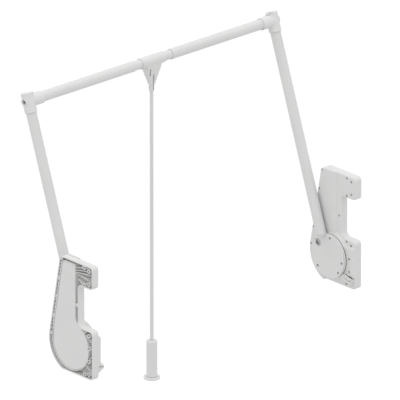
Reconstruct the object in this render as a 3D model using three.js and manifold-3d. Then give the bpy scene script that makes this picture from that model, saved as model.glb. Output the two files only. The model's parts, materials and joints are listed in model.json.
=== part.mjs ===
// A pull-down wardrobe rail. Two spring housings screw to the side walls of a wardrobe, a swing arm turns on
// each of them, and a three-part telescopic rail joins the arms. A rod with a handle hangs from the rail.
//
// Frame: X runs along the rail, the front of the wardrobe is -Y and +Z is up. The origin lies on the swing
// axis, halfway between the two side walls. Sizes are in millimetres.
//
// Side pieces are drawn in the frame of their wall: x is forward from the swing axis, y is up, and z is
// the level, the distance from the wall towards the middle of the wardrobe. Arm pieces are drawn the same way
// with the arm upright, and then lean back with the arm.
import * as THREE from "three";
import { mergeVertices } from "three/addons/utils/BufferGeometryUtils.js";
import Module from "manifold-3d";

const wasm = await Module();
wasm.setup();

// ---- driving dimensions ----
const GAP = 0.3; // clearance between neighbouring pieces
const WALL_X = 422.5; // side wall from the middle of the rail
const ARM_LENGTH = 570; // swing axis to rail axis
const ARM_LEAN = THREE.MathUtils.degToRad(19); // resting arm, back from upright
const ARM_LOW = THREE.MathUtils.degToRad(-19); // lowered arm, from straight forward
const ARM_LEVEL = 40; // arm axis from the wall
const TUBE_RADIUS = 12.5;
const TUBE_WALL = 1.5;

const BODY_RADIUS = 74; // housing, round lower back
const BODY_BOTTOM = -68;
const BODY_TOP = 212;
const BACK_NORMAL = THREE.MathUtils.degToRad(169.3); // outward direction of the sloping back edge
const EAR_FRONT = 76;
const NECK_FRONT = 28;
const LOWER_EAR_TOP = 52;
const UPPER_EAR_BOTTOM = 156;
const EAR_CORNER = 9;
const NECK_FILLET = 14;
const SKIN = 2.5; // moulded wall thickness
const PLATE_LEVEL = 20; // inner face of the ears
const TOWER_LEVEL = 25; // inner face of the spring tower
const TOWER_EDGE_START = -2; // where the tower's rounded front edge begins
const TOWER_EDGE_END = 15;
const LOWER_BACK_END = -24; // front of the raised part under the swing axis
const PIVOT_PAD_BASE = 63; // conical pad round the swing axis
const PIVOT_PAD_TOP = 55;
const PIVOT_PAD_LEVEL = 26.6;
const PIVOT_RECESS_RADIUS = 21.5; // sunk middle of the pad, round the bush's flange
const PAD_LEVEL = 26.5; // raised pad on the lower ear
const PAD_HALF_HEIGHT = 33;
const PAD_SLOPE = 6;

const CHAMBER_RADIUS = 62; // spring chamber round the swing axis
const CHAMBER_FRONT = 17;
const CHAMBER_TOP = 204;
const CHAMBER_BACK = 66; // back edge's distance from the swing axis
const CHAMBER_WALL = 2.2;
const CHAMBER_SHOULDER = 40; // height where the sloping back turns down to the round part
const CHAMBER_BLEND_TOP = 66; // height where the round part meets the straight front
const CHAMBER_BLEND = 8;
const CHAMBER_CORNER = 5;
const CHAMBER_ARC = [172, 418]; // degrees that the round part runs through
const CHAMBER_DEEP_RADIUS = 50;
const COVER_LEVEL = 1;
const COVER_THICKNESS = 1.8;

const MOUNT_HOLE_RADIUS = 3.2;
const SYSTEM_LINE = 62.5; // forward place of the holes on the 32 mm grid
const SYSTEM_HOLES = [200, 168, 40, 8, -24, -56];
const INNER_LINE = 47;
const INNER_HOLES = [205, 161, 46, -60];
const BOSS_RADIUS = 5;
const POST_RADIUS = 4.6;
const POST_HOLE_RADIUS = 2.8;
const POST_HOLE_DEPTH = 9;
const POST_START = 2;
const POST_INSET = 4; // screw posts from the chamber's back edge
const BACK_POSTS = [205, 155, 106, 55, 10];
const FRONT_POST = [21.3, 104.5];
const RIB_START = 1.5;
const RIB_THICKNESS = 1.6;
const EAR_RIBS = [
  [[16, 196], [66, 207]],
  [[16, 190], [66, 200]],
  [[16, 185], [64, 190]],
  [[16, 183], [60, 177]],
  [[26, 170], [48, 158]],
  [[46, 40], [74, 24]],
  [[58, 8], [74, 8]],
  [[58, -24], [74, -8]],
  [[50, -36], [74.2, -56]],
];

const BACK_RIB_BOTTOM = 24; // short cross ribs between the chamber and the sloping back edge
const BACK_RIB_PITCH = 9;
const BACK_RIB_COUNT = 20;

const AXLE_RADIUS = 9;
const BUSH_RADIUS = 13;
const BUSH_FLANGE_RADIUS = 20;
const BUSH_BOSS_RADIUS = 18;
const BUSH_START = 14;
const BUSH_FLANGE = 1;
const WASHER_THICKNESS = 1.1;
const AXLE_START = 4;
const GROOVE_START = 5;
const GROOVE_WIDTH = 1.6;
const GROOVE_DEPTH = 1;
const CIRCLIP_RADIUS = 11.5;
const CIRCLIP_OPENING = 6;

const CRANK_START = 7.5;
const CRANK_THICKNESS = 4.5;
const CRANK_RADIUS = 16;
const CRANK_PIN = [-8, 38];
const CRANK_PIN_RADIUS = 3;
const CRANK_TIP_RADIUS = 7;
const ANCHOR = [-12, 188];
const ANCHOR_RADIUS = 4;
const ANCHOR_BOSS_RADIUS = 7;
const SPRING_LEVEL = 14.6;
const SPRING_RADIUS = 6.5;
const SPRING_EYE_RADIUS = 6;
const SPRING_EYE_THICKNESS = 3;
const SPRING_NECK = 16; // eye centre to the first coil
const SPRING_NECK_RADIUS = 1.6;
const SPRING_NECK_GAP = 1.5; // end of the neck from the pin's hole

const HUB_START = 28;
const HUB_THICKNESS = 6;
const HUB_RADIUS = 54.7;
const COLLAR_FOOT = 52; // inner end of the collar that holds the arm tube, from the swing axis
const COLLAR_RADIUS = 13.5;
const COLLAR_BACK = 27.5; // level of the flat behind the collar
const SPIGOT_LENGTH = 32;
const SPIGOT_RADIUS = 10.6;
const CAP_THICKNESS = 1.9;
const CAP_CHAMFER = 0.8;
const CAP_SCREW_CIRCLE = 47.5;
const CAP_SCREW_ANGLES = [82, -6, -42, -136];
const CAP_SCREW_HEAD = 2.9;
const CAP_SCREW_HEAD_HEIGHT = 1.8;
const CAP_SCREW_SHANK = 1.6;
const CAP_SCREW_SEAT = 4; // depth of the screw seats under the hub's face
const TENSION_SCREW = [-34, 26];
const TENSION_HEAD = 8.5;
const TENSION_SHANK = 4;
const TENSION_SOCKET = 6.6;
const TENSION_SEAT = 3; // depth of the head's seat under the hub's face
const TENSION_SOCKET_FLOOR = 1.5; // head left under the socket
const TENSION_PROUD = 1; // top of the head above the cap

const STOP_START = 57; // stop lug, measured along the lowered arm
const STOP_END = 84;
const STOP_TOP_LEVEL = 38.5;
const BUMPER_THICKNESS = 3.2;
const LUG_THICKNESS = 6;
const BUTTRESS_REACH = 21; // foot of the sloping buttress, under the top of the lug
const BUTTRESS_LEVEL = 37;
const STOP_CORNERS = [0.8, 2, 1, 0.8];

const ELBOW_RADIUS = 14.7;
const ELBOW_BELOW = 27.5; // rim under the rail axis
const ELBOW_ABOVE = 20;
const ELBOW_CHAMFER = 1.5;
const ELBOW_STEP_LEVEL = 43.5; // start of the lower step on top, which carries the locking screw
const ELBOW_STEP_HEIGHT = 14.6; // the step's flat, above the rail axis
const SOCKET_RADIUS = 15;
const SOCKET_LENGTH = 39;
const SOCKET_FLOOR = 10; // solid part of the socket, from the arm axis
const SCREW_BOSS_RADIUS = 9;
const SCREW_BOSS_START = 24.4;
const SCREW_HEAD_RADIUS = 5.2;
const SCREW_HEAD_START = 28;
const SCREW_HEAD_END = 33;
const SCREW_SHANK_RADIUS = 3;
const SCREW_SOCKET_RADIUS = 3.2;
const SCREW_SOCKET_DEPTH = 3;
const SCREW_SHORT_OF_PLUG = 3; // end of the screw inside the plug
const PLUG_LENGTH = 12;
const PLUG_END = 2; // solid end of the plug
const GRUB_LEVEL = 52.3;
const GRUB_HEAD_RADIUS = 5;
const GRUB_HEAD_HEIGHT = 3.6;
const GRUB_SHANK_RADIUS = 2;

const OUTER_TUBE_END = 57.5; // outer rail tubes stop this far from the middle
const CENTRE_TUBE_RADIUS = 11.1;
const CENTRE_TUBE_HALF = 260;
const CENTRE_TUBE_WALL = 1.5;
const SLEEVE_RADIUS = 13.2;
const SLEEVE_HALF = 36;
const WEB_TOP = -3;
const WEB_TOP_HALF = [26, 12.4]; // half width along the rail and half depth, under the sleeve
const WEB_BOTTOM = -60;
const WEB_BOTTOM_HALF = [6, 5.6];
const SLOT_HALF = 2.2; // slot in the front of the rod's socket
const SLOT_TOP = -31.5;
const ROD_SOCKET_RADIUS = 6.4;
const ROD_SOCKET_TOP = -22;
const ROD_SOCKET_BOTTOM = -75;
const ROD_RADIUS = 4.3;
const ROD_TOP = -32;
const ROD_PIN_Z = -66;
const ROD_PIN_RADIUS = 1.2;
const ROD_PIN_HALF = 6.4;
const HANDLE_BOTTOM = -795.5;
const HANDLE_HEIGHT = 96;
const HANDLE_RADIUS = 12.75;
const HANDLE_BORE_DEPTH = 60;
const HANDLE_CHAMFER = 2;
const FLANGE_RADIUS = 19.5;
const FLANGE_HEIGHT = 6;
const FLANGE_EDGE = 1.8;

const ROUND = 20; // sides of a tube
const WIDE_ROUND = 36; // sides of the hub
const SMALL_ROUND = 10; // sides of a screw or hole
const TINY_ROUND = 8;
const ROD_ROUND = 16;
const CORNER_STEPS = 2;
const OVERSHOOT = 1; // how far a cutting tool runs past the face it cuts

// ---- materials ----
const plastic = new THREE.MeshStandardMaterial({ color: 0xeeeeec, roughness: 0.55, metalness: 0 });
const paint = new THREE.MeshStandardMaterial({ color: 0xececea, roughness: 0.4, metalness: 0.1 });
const steel = new THREE.MeshStandardMaterial({ color: 0x9a9c9f, roughness: 0.35, metalness: 0.9 });
const rubber = new THREE.MeshStandardMaterial({ color: 0xd9d9d6, roughness: 0.9, metalness: 0 });
const acetal = new THREE.MeshStandardMaterial({ color: 0xc9c9c4, roughness: 0.45, metalness: 0 });

// ---- solids and geometries ----
function toSolid(geometry) {
  const bare = geometry.index ? geometry.toNonIndexed() : geometry.clone();
  bare.deleteAttribute("normal");
  bare.deleteAttribute("uv");
  const merged = mergeVertices(bare, 1e-4);
  const corners = Array.from(merged.index.array);
  const triVerts = [];
  for (let i = 0; i < corners.length; i += 3) {
    const [a, b, c] = corners.slice(i, i + 3);
    if (a !== b && b !== c && a !== c) triVerts.push(a, b, c);
  }
  const vertProperties = merged.attributes.position.array;
  const mesh = new wasm.Mesh({ numProp: 3, vertProperties, triVerts: new Uint32Array(triVerts) });
  const solid = new wasm.Manifold(mesh);
  if (solid.volume() <= 0) throw new Error("a solid is inside out");
  return solid;
}

function toGeometry(solid, mirrored) {
  const mesh = solid.getMesh();
  const points = Float32Array.from(mesh.vertProperties);
  const faces = Uint32Array.from(mesh.triVerts);
  if (mirrored) {
    for (let i = 0; i < points.length; i += 3) points[i] = -points[i];
    for (let i = 0; i < faces.length; i += 3) [faces[i], faces[i + 1]] = [faces[i + 1], faces[i]];
  }
  const geometry = new THREE.BufferGeometry();
  geometry.setAttribute("position", new THREE.BufferAttribute(points, 3));
  geometry.setIndex(new THREE.BufferAttribute(faces, 1));
  geometry.computeVertexNormals();
  return geometry;
}

const join = (solids) => solids.reduce((whole, solid) => whole.add(solid));
const cut = (body, tools) => tools.reduce((whole, tool) => whole.subtract(tool), body);

// A closed outline from corners [x, y, radius]; a radius of 0 is a plain point.
function outline(corners) {
  const shape = new THREE.Shape();
  const points = corners.map(([x, y]) => new THREE.Vector2(x, y));
  corners.forEach(([, , radius], i) => {
    const corner = points[i];
    const before = points[(i + points.length - 1) % points.length];
    const after = points[(i + 1) % points.length];
    const start = corner.clone().add(before.clone().sub(corner).setLength(radius || 0));
    const end = corner.clone().add(after.clone().sub(corner).setLength(radius || 0));
    if (i === 0) shape.moveTo(start.x, start.y);
    else shape.lineTo(start.x, start.y);
    if (radius) shape.quadraticCurveTo(corner.x, corner.y, end.x, end.y);
  });
  shape.closePath();
  return shape;
}

// An outline in forward and up, thickened from one level to another.
function slab(shape, from, to) {
  const options = { depth: to - from, bevelEnabled: false, curveSegments: CORNER_STEPS };
  return toSolid(new THREE.ExtrudeGeometry(shape, options).translate(0, 0, from));
}

// A round bar that stands on the wall, at [forward, up].
function post([x, y], radius, from, to, sides = SMALL_ROUND) {
  const bar = new THREE.CylinderGeometry(radius, radius, to - from, sides);
  return toSolid(bar.rotateX(Math.PI / 2).translate(x, y, (from + to) / 2));
}

// A round bar along the arm, from one distance from the swing axis to another.
function alongArm(radius, from, to, level = ARM_LEVEL, sides = ROUND) {
  const bar = new THREE.CylinderGeometry(radius, radius, to - from, sides);
  return toSolid(bar.translate(0, (from + to) / 2, level));
}

// A turned piece about an upright axis, from [radius, height] points that start and end on the axis.
function turned(profile, sides = ROUND) {
  return toSolid(new THREE.LatheGeometry(profile.map(([r, y]) => new THREE.Vector2(r, y)), sides));
}

// A box from its lowest and highest corners.
function block(low, high) {
  const [x, y, z] = high.map((value, i) => value - low[i]);
  const centre = high.map((value, i) => (value + low[i]) / 2);
  return toSolid(new THREE.BoxGeometry(x, y, z).translate(...centre));
}

// A six-sided socket, cut from one level to another.
const hexSocket = (place, radius, from, to) => post(place, radius, from, to, 6);

// ---- the scene: one group for each wall, with a leaning group for its arm ----
const rack = new THREE.Group();

function makeSide(name, sign) {
  const wall = new THREE.Group();
  const forward = new THREE.Vector3(0, -sign, 0);
  const inward = new THREE.Vector3(-sign, 0, 0);
  wall.setRotationFromMatrix(new THREE.Matrix4().makeBasis(forward, new THREE.Vector3(0, 0, 1), inward));
  wall.position.x = sign * WALL_X;
  const arm = new THREE.Group();
  arm.rotation.z = sign * ARM_LEAN;
  wall.add(arm);
  rack.add(wall);
  return { name, mirrored: sign < 0, wall, arm };
}

const sides = [makeSide("left", -1), makeSide("right", 1)];

function addPair(name, material, solid, group = "wall") {
  for (const side of sides) {
    const mesh = new THREE.Mesh(toGeometry(solid, side.mirrored), material);
    mesh.name = `${side.name}_${name}`;
    side[group].add(mesh);
  }
}

// ---- housing ----
function arc(radius, from, to, steps) {
  const points = [];
  for (let i = 0; i <= steps; i += 1) {
    const angle = from + ((to - from) * i) / steps;
    points.push([radius * Math.cos(angle), radius * Math.sin(angle), 0]);
  }
  return points;
}

// Forward place of a sloping back edge at a height, for an edge at a distance from the swing axis.
function backEdge(distance, height) {
  return (distance - height * Math.sin(BACK_NORMAL)) / Math.cos(BACK_NORMAL);
}

function bodyOutline(inset) {
  const radius = BODY_RADIUS - inset;
  const bottom = BODY_BOTTOM + inset;
  const top = BODY_TOP - inset;
  const front = EAR_FRONT - inset;
  const neck = NECK_FRONT - inset;
  const lowerTop = LOWER_EAR_TOP - inset;
  const upperBottom = UPPER_EAR_BOTTOM + inset;
  const bottomAngle = Math.PI + Math.asin(-bottom / radius);
  return outline([
    [front, bottom, EAR_CORNER],
    [front, lowerTop, EAR_CORNER],
    [neck, lowerTop, NECK_FILLET],
    [neck, upperBottom, EAR_CORNER],
    [front, upperBottom, EAR_CORNER],
    [front, top, EAR_CORNER],
    [backEdge(radius, top), top, EAR_CORNER],
    ...arc(radius, BACK_NORMAL, bottomAngle, 8),
  ]);
}

function chamberOutline(inset) {
  const radius = CHAMBER_RADIUS - inset;
  const front = CHAMBER_FRONT - inset;
  const top = CHAMBER_TOP - inset;
  const back = CHAMBER_BACK - inset;
  const [roundStart, roundEnd] = CHAMBER_ARC.map(THREE.MathUtils.degToRad);
  return outline([
    ...arc(radius, roundStart, roundEnd, 18),
    [front, CHAMBER_BLEND_TOP, CHAMBER_BLEND],
    [front, top, CHAMBER_CORNER],
    [backEdge(back, top), top, EAR_CORNER],
    [backEdge(back, CHAMBER_SHOULDER), CHAMBER_SHOULDER, 0],
  ]);
}

// The raised tower's section in forward and level, run up the housing.
function towerRun(edgeStart, edgeEnd, base, level, bottom, top) {
  const farBack = -BODY_RADIUS - TOWER_LEVEL;
  const section = [[farBack, base, 0], [farBack, level, 0]];
  const steps = 5;
  for (let i = 0; i <= steps; i += 1) {
    const turn = (Math.PI / 2) * (i / steps);
    const x = edgeStart + (edgeEnd - edgeStart) * Math.sin(turn);
    section.push([x, base + (level - base) * Math.cos(turn), 0]);
  }
  const run = new THREE.ExtrudeGeometry(outline(section), { depth: top - bottom, bevelEnabled: false });
  return toSolid(run.rotateX(Math.PI / 2).translate(0, top, 0));
}

const mountPlaces = [
  ...SYSTEM_HOLES.map((height) => [SYSTEM_LINE, height]),
  ...INNER_HOLES.map((height) => [INNER_LINE, height]),
];
const backPosts = BACK_POSTS.map((height) => [backEdge(CHAMBER_BACK + POST_INSET, height), height]);
const postPlaces = [...backPosts, FRONT_POST];
const backRibs = Array.from({ length: BACK_RIB_COUNT }, (_, i) => {
  const height = BACK_RIB_BOTTOM + i * BACK_RIB_PITCH;
  return [[backEdge(BODY_RADIUS - 1, height), height], [backEdge(CHAMBER_BACK - 1, height), height]];
});

// A thin rib between two places, standing on the inside of the face.
function rib([x0, y0], [x1, y1]) {
  const length = Math.hypot(x1 - x0, y1 - y0);
  const ribEnd = PLATE_LEVEL - 1;
  const bar = new THREE.BoxGeometry(length, RIB_THICKNESS, ribEnd - RIB_START);
  bar.rotateZ(Math.atan2(y1 - y0, x1 - x0));
  return toSolid(bar.translate((x0 + x1) / 2, (y0 + y1) / 2, (ribEnd + RIB_START) / 2));
}

// A bar under the lowered arm, from its places along and across the arm and its levels.
function stopBar(start, end, low, high, from, to) {
  const corners = [[start, low], [end, low], [end, high], [start, high]];
  const shape = outline(corners.map((corner, i) => [...corner, STOP_CORNERS[i]]));
  const options = { depth: to - from, bevelEnabled: false, curveSegments: CORNER_STEPS };
  return toSolid(new THREE.ExtrudeGeometry(shape, options).translate(0, 0, from).rotateZ(ARM_LOW));
}

const anchorEnd = TOWER_LEVEL - 2; // end of the anchor pin's hole
const bumperTop = -TUBE_RADIUS - GAP;
const lugTop = bumperTop - BUMPER_THICKNESS - GAP;

function housingShell() {
  const far = TOWER_LEVEL + 20;
  const body = slab(bodyOutline(0), 0, PLATE_LEVEL);
  const silhouette = slab(bodyOutline(0), 0, far);
  const tower = towerRun(TOWER_EDGE_START, TOWER_EDGE_END, PLATE_LEVEL - 1, TOWER_LEVEL, 0, BODY_TOP);
  const lowerBack = block([-BODY_RADIUS, BODY_BOTTOM, PLATE_LEVEL - 1], [LOWER_BACK_END, 0, TOWER_LEVEL]);
  const padHeight = PIVOT_PAD_LEVEL - PLATE_LEVEL;
  const padCone = new THREE.CylinderGeometry(PIVOT_PAD_TOP, PIVOT_PAD_BASE, padHeight, WIDE_ROUND);
  const pivotPad = toSolid(padCone.rotateX(Math.PI / 2).translate(0, 0, PLATE_LEVEL + padHeight / 2));
  const padTop = PAD_HALF_HEIGHT + PAD_SLOPE;
  const padSection = outline([
    [PLATE_LEVEL - 1, -padTop, 0],
    [PAD_LEVEL, -PAD_HALF_HEIGHT, 0],
    [PAD_LEVEL, PAD_HALF_HEIGHT, 0],
    [PLATE_LEVEL - 1, padTop, 0],
  ]);
  const padWidth = EAR_FRONT - CAP_SCREW_CIRCLE;
  const padRun = new THREE.ExtrudeGeometry(padSection, { depth: padWidth, bevelEnabled: false });
  const pad = toSolid(padRun.rotateY(-Math.PI / 2).translate(EAR_FRONT, 0, 0));
  const lug = stopBar(STOP_START, STOP_END, lugTop - LUG_THICKNESS, lugTop, PLATE_LEVEL - 1, STOP_TOP_LEVEL);
  const buttressSection = outline([
    [PLATE_LEVEL - 1, lugTop - BUTTRESS_REACH, 0],
    [BUTTRESS_LEVEL, lugTop - LUG_THICKNESS + 1, 0],
    [PLATE_LEVEL - 1, lugTop - 1, 0],
  ]);
  const buttressRun = new THREE.ExtrudeGeometry(buttressSection, {
    depth: STOP_END - STOP_START - 2,
    bevelEnabled: false,
  });
  const buttress = toSolid(buttressRun.rotateY(-Math.PI / 2).translate(STOP_END - 1, 0, 0).rotateZ(ARM_LOW));

  const inside = join([
    ...mountPlaces.map((place) => post(place, BOSS_RADIUS, 0, far)),
    ...postPlaces.map((place) => post(place, POST_RADIUS, POST_START, far)),
    ...[...EAR_RIBS, ...backRibs].map(([start, end]) => rib(start, end)),
    slab(chamberOutline(0), 0, far),
  ]);
  const earHollow = slab(bodyOutline(SKIN), -OVERSHOOT, PLATE_LEVEL - SKIN).subtract(inside);
  const chamberTool = slab(chamberOutline(CHAMBER_WALL), -OVERSHOOT, far);
  const shallow = chamberTool.intersect(slab(bodyOutline(SKIN), -OVERSHOOT, PLATE_LEVEL - CHAMBER_WALL));
  const deepLevel = TOWER_LEVEL - SKIN;
  const deep = join([
    towerRun(TOWER_EDGE_START, TOWER_EDGE_START + 3, 0, deepLevel, 0, BODY_TOP),
    post([0, 0], CHAMBER_DEEP_RADIUS, 0, deepLevel, ROUND),
  ]).intersect(chamberTool);
  const bushBoss = post([0, 0], BUSH_BOSS_RADIUS, BUSH_START, TOWER_LEVEL - 1, ROUND);
  const anchorBoss = post(ANCHOR, ANCHOR_BOSS_RADIUS, PLATE_LEVEL, TOWER_LEVEL - 1);

  const solid = join([body, join([tower, lowerBack, pivotPad, pad]).intersect(silhouette), lug, buttress]);
  const hollow = cut(solid, [earHollow, shallow, deep]);
  return cut(join([hollow, bushBoss, anchorBoss]), [
    post([0, 0], BUSH_RADIUS + GAP, 0, far, ROUND),
    post([0, 0], PIVOT_RECESS_RADIUS, TOWER_LEVEL, far, ROUND),
    post(ANCHOR, ANCHOR_RADIUS + GAP, 0, anchorEnd),
    ...mountPlaces.map((place) => post(place, MOUNT_HOLE_RADIUS, -OVERSHOOT, far)),
    ...postPlaces.map((place) => post(place, POST_HOLE_RADIUS, TOWER_LEVEL - POST_HOLE_DEPTH, far)),
  ]);
}

addPair("housing_shell", plastic, housingShell());
const coverEnd = COVER_LEVEL + COVER_THICKNESS;
addPair("chamber_cover", plastic, slab(chamberOutline(CHAMBER_WALL + GAP), COVER_LEVEL, coverEnd)
  .intersect(slab(bodyOutline(SKIN + GAP), 0, PLATE_LEVEL)));
addPair("stop_bumper", rubber, stopBar(STOP_START + 1, STOP_END - 1, lugTop + GAP, bumperTop,
  HUB_START, STOP_TOP_LEVEL - GAP));

// ---- swing bearing and spring ----
const flangeStart = TOWER_LEVEL + GAP;
const flangeEnd = flangeStart + BUSH_FLANGE;
const washerStart = flangeEnd + GAP;
const axleHole = post([0, 0], AXLE_RADIUS + GAP, 0, HUB_START + HUB_THICKNESS + OVERSHOOT, ROUND);
const hubFace = HUB_START + HUB_THICKNESS;

addPair("bearing_bush", acetal, cut(join([
  post([0, 0], BUSH_RADIUS, BUSH_START + GAP, flangeEnd, ROUND),
  post([0, 0], BUSH_FLANGE_RADIUS, flangeStart, flangeEnd, ROUND),
]), [axleHole]));
addPair("thrust_washer", steel,
  post([0, 0], BUSH_FLANGE_RADIUS, washerStart, washerStart + WASHER_THICKNESS, ROUND).subtract(axleHole));

const grooveRadius = AXLE_RADIUS - GROOVE_DEPTH;
const grooveEnd = GROOVE_START + GROOVE_WIDTH;
const groove = post([0, 0], AXLE_RADIUS + OVERSHOOT, GROOVE_START, grooveEnd, ROUND)
  .subtract(post([0, 0], grooveRadius, GROOVE_START - OVERSHOOT, grooveEnd + OVERSHOOT, ROUND));
addPair("pivot_axle", steel, post([0, 0], AXLE_RADIUS, AXLE_START, hubFace - GAP, ROUND).subtract(groove));
const halfOpening = CIRCLIP_OPENING / 2;
addPair("axle_circlip", steel, cut(
  post([0, 0], CIRCLIP_RADIUS, GROOVE_START + GAP, grooveEnd - GAP, ROUND),
  [
    post([0, 0], grooveRadius + GAP, 0, CRANK_START, ROUND),
    block([-halfOpening, -CIRCLIP_RADIUS - OVERSHOOT, 0], [halfOpening, 0, CRANK_START]),
  ],
));

function crankArm() {
  const end = CRANK_START + CRANK_THICKNESS;
  const [pinX, pinY] = CRANK_PIN;
  const side = new THREE.Vector2(pinY, -pinX).normalize();
  const corner = (x, y, reach) => [x + side.x * reach, y + side.y * reach, 0];
  const rootReach = CRANK_RADIUS - 1;
  const tipReach = CRANK_TIP_RADIUS - 0.5;
  const web = outline([
    corner(0, 0, rootReach),
    corner(pinX, pinY, tipReach),
    corner(pinX, pinY, -tipReach),
    corner(0, 0, -rootReach),
  ]);
  return cut(join([
    post([0, 0], CRANK_RADIUS, CRANK_START, end, ROUND),
    post(CRANK_PIN, CRANK_TIP_RADIUS, CRANK_START, end),
    slab(web, CRANK_START, end),
  ]), [axleHole, post(CRANK_PIN, CRANK_PIN_RADIUS + GAP, 0, HUB_START)]);
}

addPair("crank_arm", steel, crankArm());
const crankPinEnd = SPRING_LEVEL + SPRING_EYE_THICKNESS;
addPair("crank_pin", steel, post(CRANK_PIN, CRANK_PIN_RADIUS, CRANK_START, crankPinEnd));
addPair("spring_anchor_pin", steel, post(ANCHOR, ANCHOR_RADIUS, coverEnd + GAP, anchorEnd - GAP));

// The coil spring with an eye at each end, as the space that its coils turn in.
function mainSpring() {
  const [x0, y0] = CRANK_PIN;
  const [x1, y1] = ANCHOR;
  const length = Math.hypot(x1 - x0, y1 - y0);
  const pinHole = CRANK_PIN_RADIUS + GAP;
  const anchorHole = ANCHOR_RADIUS + GAP;
  const alongSpring = (radius, span, sides) => toSolid(
    new THREE.CylinderGeometry(radius, radius, span, sides).translate(0, length / 2, 0),
  );
  const across = (along, radius, thickness) => {
    const disc = new THREE.CylinderGeometry(radius, radius, thickness, SMALL_ROUND);
    return toSolid(disc.rotateX(Math.PI / 2).translate(0, along, 0));
  };
  const spring = cut(join([
    alongSpring(SPRING_NECK_RADIUS, length - 2 * (pinHole + SPRING_NECK_GAP), TINY_ROUND),
    alongSpring(SPRING_RADIUS, length - 2 * SPRING_NECK, SMALL_ROUND),
    across(0, SPRING_EYE_RADIUS, SPRING_EYE_THICKNESS),
    across(length, SPRING_EYE_RADIUS + 1, SPRING_EYE_THICKNESS),
  ]), [
    across(0, pinHole, 3 * SPRING_EYE_THICKNESS),
    across(length, anchorHole, 3 * SPRING_EYE_THICKNESS),
  ]);
  const turn = -Math.atan2(x1 - x0, y1 - y0);
  return toSolid(toGeometry(spring, false).rotateZ(turn).translate(x0, y0, SPRING_LEVEL));
}

addPair("main_spring", steel, mainSpring());

// ---- arm hub and its cap ----

// A place on the leaning hub, as a place on the hub with the arm upright.
function unlean([x, y]) {
  const place = new THREE.Vector2(x, y).rotateAround(new THREE.Vector2(0, 0), -ARM_LEAN);
  return [place.x, place.y];
}

const capScrewPlaces = CAP_SCREW_ANGLES.map((degrees) => {
  const angle = THREE.MathUtils.degToRad(degrees);
  return unlean([CAP_SCREW_CIRCLE * Math.cos(angle), CAP_SCREW_CIRCLE * Math.sin(angle)]);
});
const tensionPlace = unlean(TENSION_SCREW);
const tensionSeat = hubFace - TENSION_SEAT;
const capScrewSeat = hubFace - CAP_SCREW_SEAT;

function armHub() {
  const underHub = HUB_START - OVERSHOOT;
  const behind = block([-HUB_RADIUS, 0, 0], [HUB_RADIUS, 2 * HUB_RADIUS, COLLAR_BACK]);
  const collar = alongArm(COLLAR_RADIUS, COLLAR_FOOT, HUB_RADIUS).subtract(behind);
  const disc = post([0, 0], HUB_RADIUS, HUB_START, hubFace, WIDE_ROUND);
  const spigot = alongArm(SPIGOT_RADIUS, HUB_RADIUS - OVERSHOOT, HUB_RADIUS + SPIGOT_LENGTH);
  return cut(join([disc, collar, spigot]), [
    axleHole,
    ...capScrewPlaces.map((place) => post(place, CAP_SCREW_SHANK + GAP, underHub, hubFace, TINY_ROUND)),
    ...capScrewPlaces.map((place) => post(place, CAP_SCREW_HEAD + GAP, capScrewSeat, hubFace + OVERSHOOT)),
    post(tensionPlace, TENSION_HEAD + GAP, tensionSeat, hubFace + OVERSHOOT, ROUND),
    post(tensionPlace, TENSION_SHANK + GAP, underHub, hubFace + OVERSHOOT),
  ]);
}

const capStart = hubFace + GAP;
const capEnd = capStart + CAP_THICKNESS;

function hubCap() {
  const underCap = capStart - OVERSHOOT;
  const disc = turned([
    [0, capStart],
    [HUB_RADIUS, capStart],
    [HUB_RADIUS, capEnd - CAP_CHAMFER],
    [HUB_RADIUS - CAP_CHAMFER, capEnd],
    [0, capEnd],
  ], WIDE_ROUND);
  const flat = toSolid(toGeometry(disc, false).rotateX(Math.PI / 2));
  return cut(flat, [
    alongArm(COLLAR_RADIUS + GAP, COLLAR_FOOT - GAP, HUB_RADIUS + OVERSHOOT),
    ...capScrewPlaces.map((place) => post(place, CAP_SCREW_HEAD + GAP, underCap, capEnd + OVERSHOOT)),
    post(tensionPlace, TENSION_HEAD + GAP, underCap, capEnd + OVERSHOOT, ROUND),
  ]);
}

addPair("arm_hub", plastic, armHub(), "arm");
addPair("hub_cap", plastic, hubCap(), "arm");
capScrewPlaces.forEach((place, i) => {
  const screw = join([
    post(place, CAP_SCREW_HEAD, capScrewSeat + GAP, capScrewSeat + CAP_SCREW_HEAD_HEIGHT),
    post(place, CAP_SCREW_SHANK, HUB_START, capScrewSeat + OVERSHOOT, TINY_ROUND),
  ]).subtract(hexSocket(place, CAP_SCREW_HEAD / 2, capScrewSeat + OVERSHOOT, capEnd));
  addPair(`cap_screw_${i + 1}`, steel, screw, "arm");
});
const tensionTop = capEnd + TENSION_PROUD;
const tensionFloor = tensionSeat + TENSION_SOCKET_FLOOR;
addPair("tension_screw", steel, cut(join([
  post(tensionPlace, TENSION_HEAD, tensionSeat + GAP, tensionTop, ROUND),
  post(tensionPlace, TENSION_SHANK, HUB_START + 1, capEnd),
]), [hexSocket(tensionPlace, TENSION_SOCKET, tensionFloor, tensionTop + OVERSHOOT)]), "arm");

// ---- arm tube and elbow ----
function tube(length, radius, wall) {
  const bore = post([0, 0], radius - wall, -OVERSHOOT, length + OVERSHOOT, ROUND);
  return post([0, 0], radius, 0, length, ROUND).subtract(bore);
}

const elbowStart = ARM_LENGTH - ELBOW_BELOW;
const armTubeStart = HUB_RADIUS + GAP;
const armTubeLength = elbowStart - GAP - armTubeStart;
const armTube = toGeometry(tube(armTubeLength, TUBE_RADIUS, TUBE_WALL), false)
  .rotateX(-Math.PI / 2).translate(0, armTubeStart, ARM_LEVEL);
addPair("arm_tube", paint, toSolid(armTube), "arm");

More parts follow.
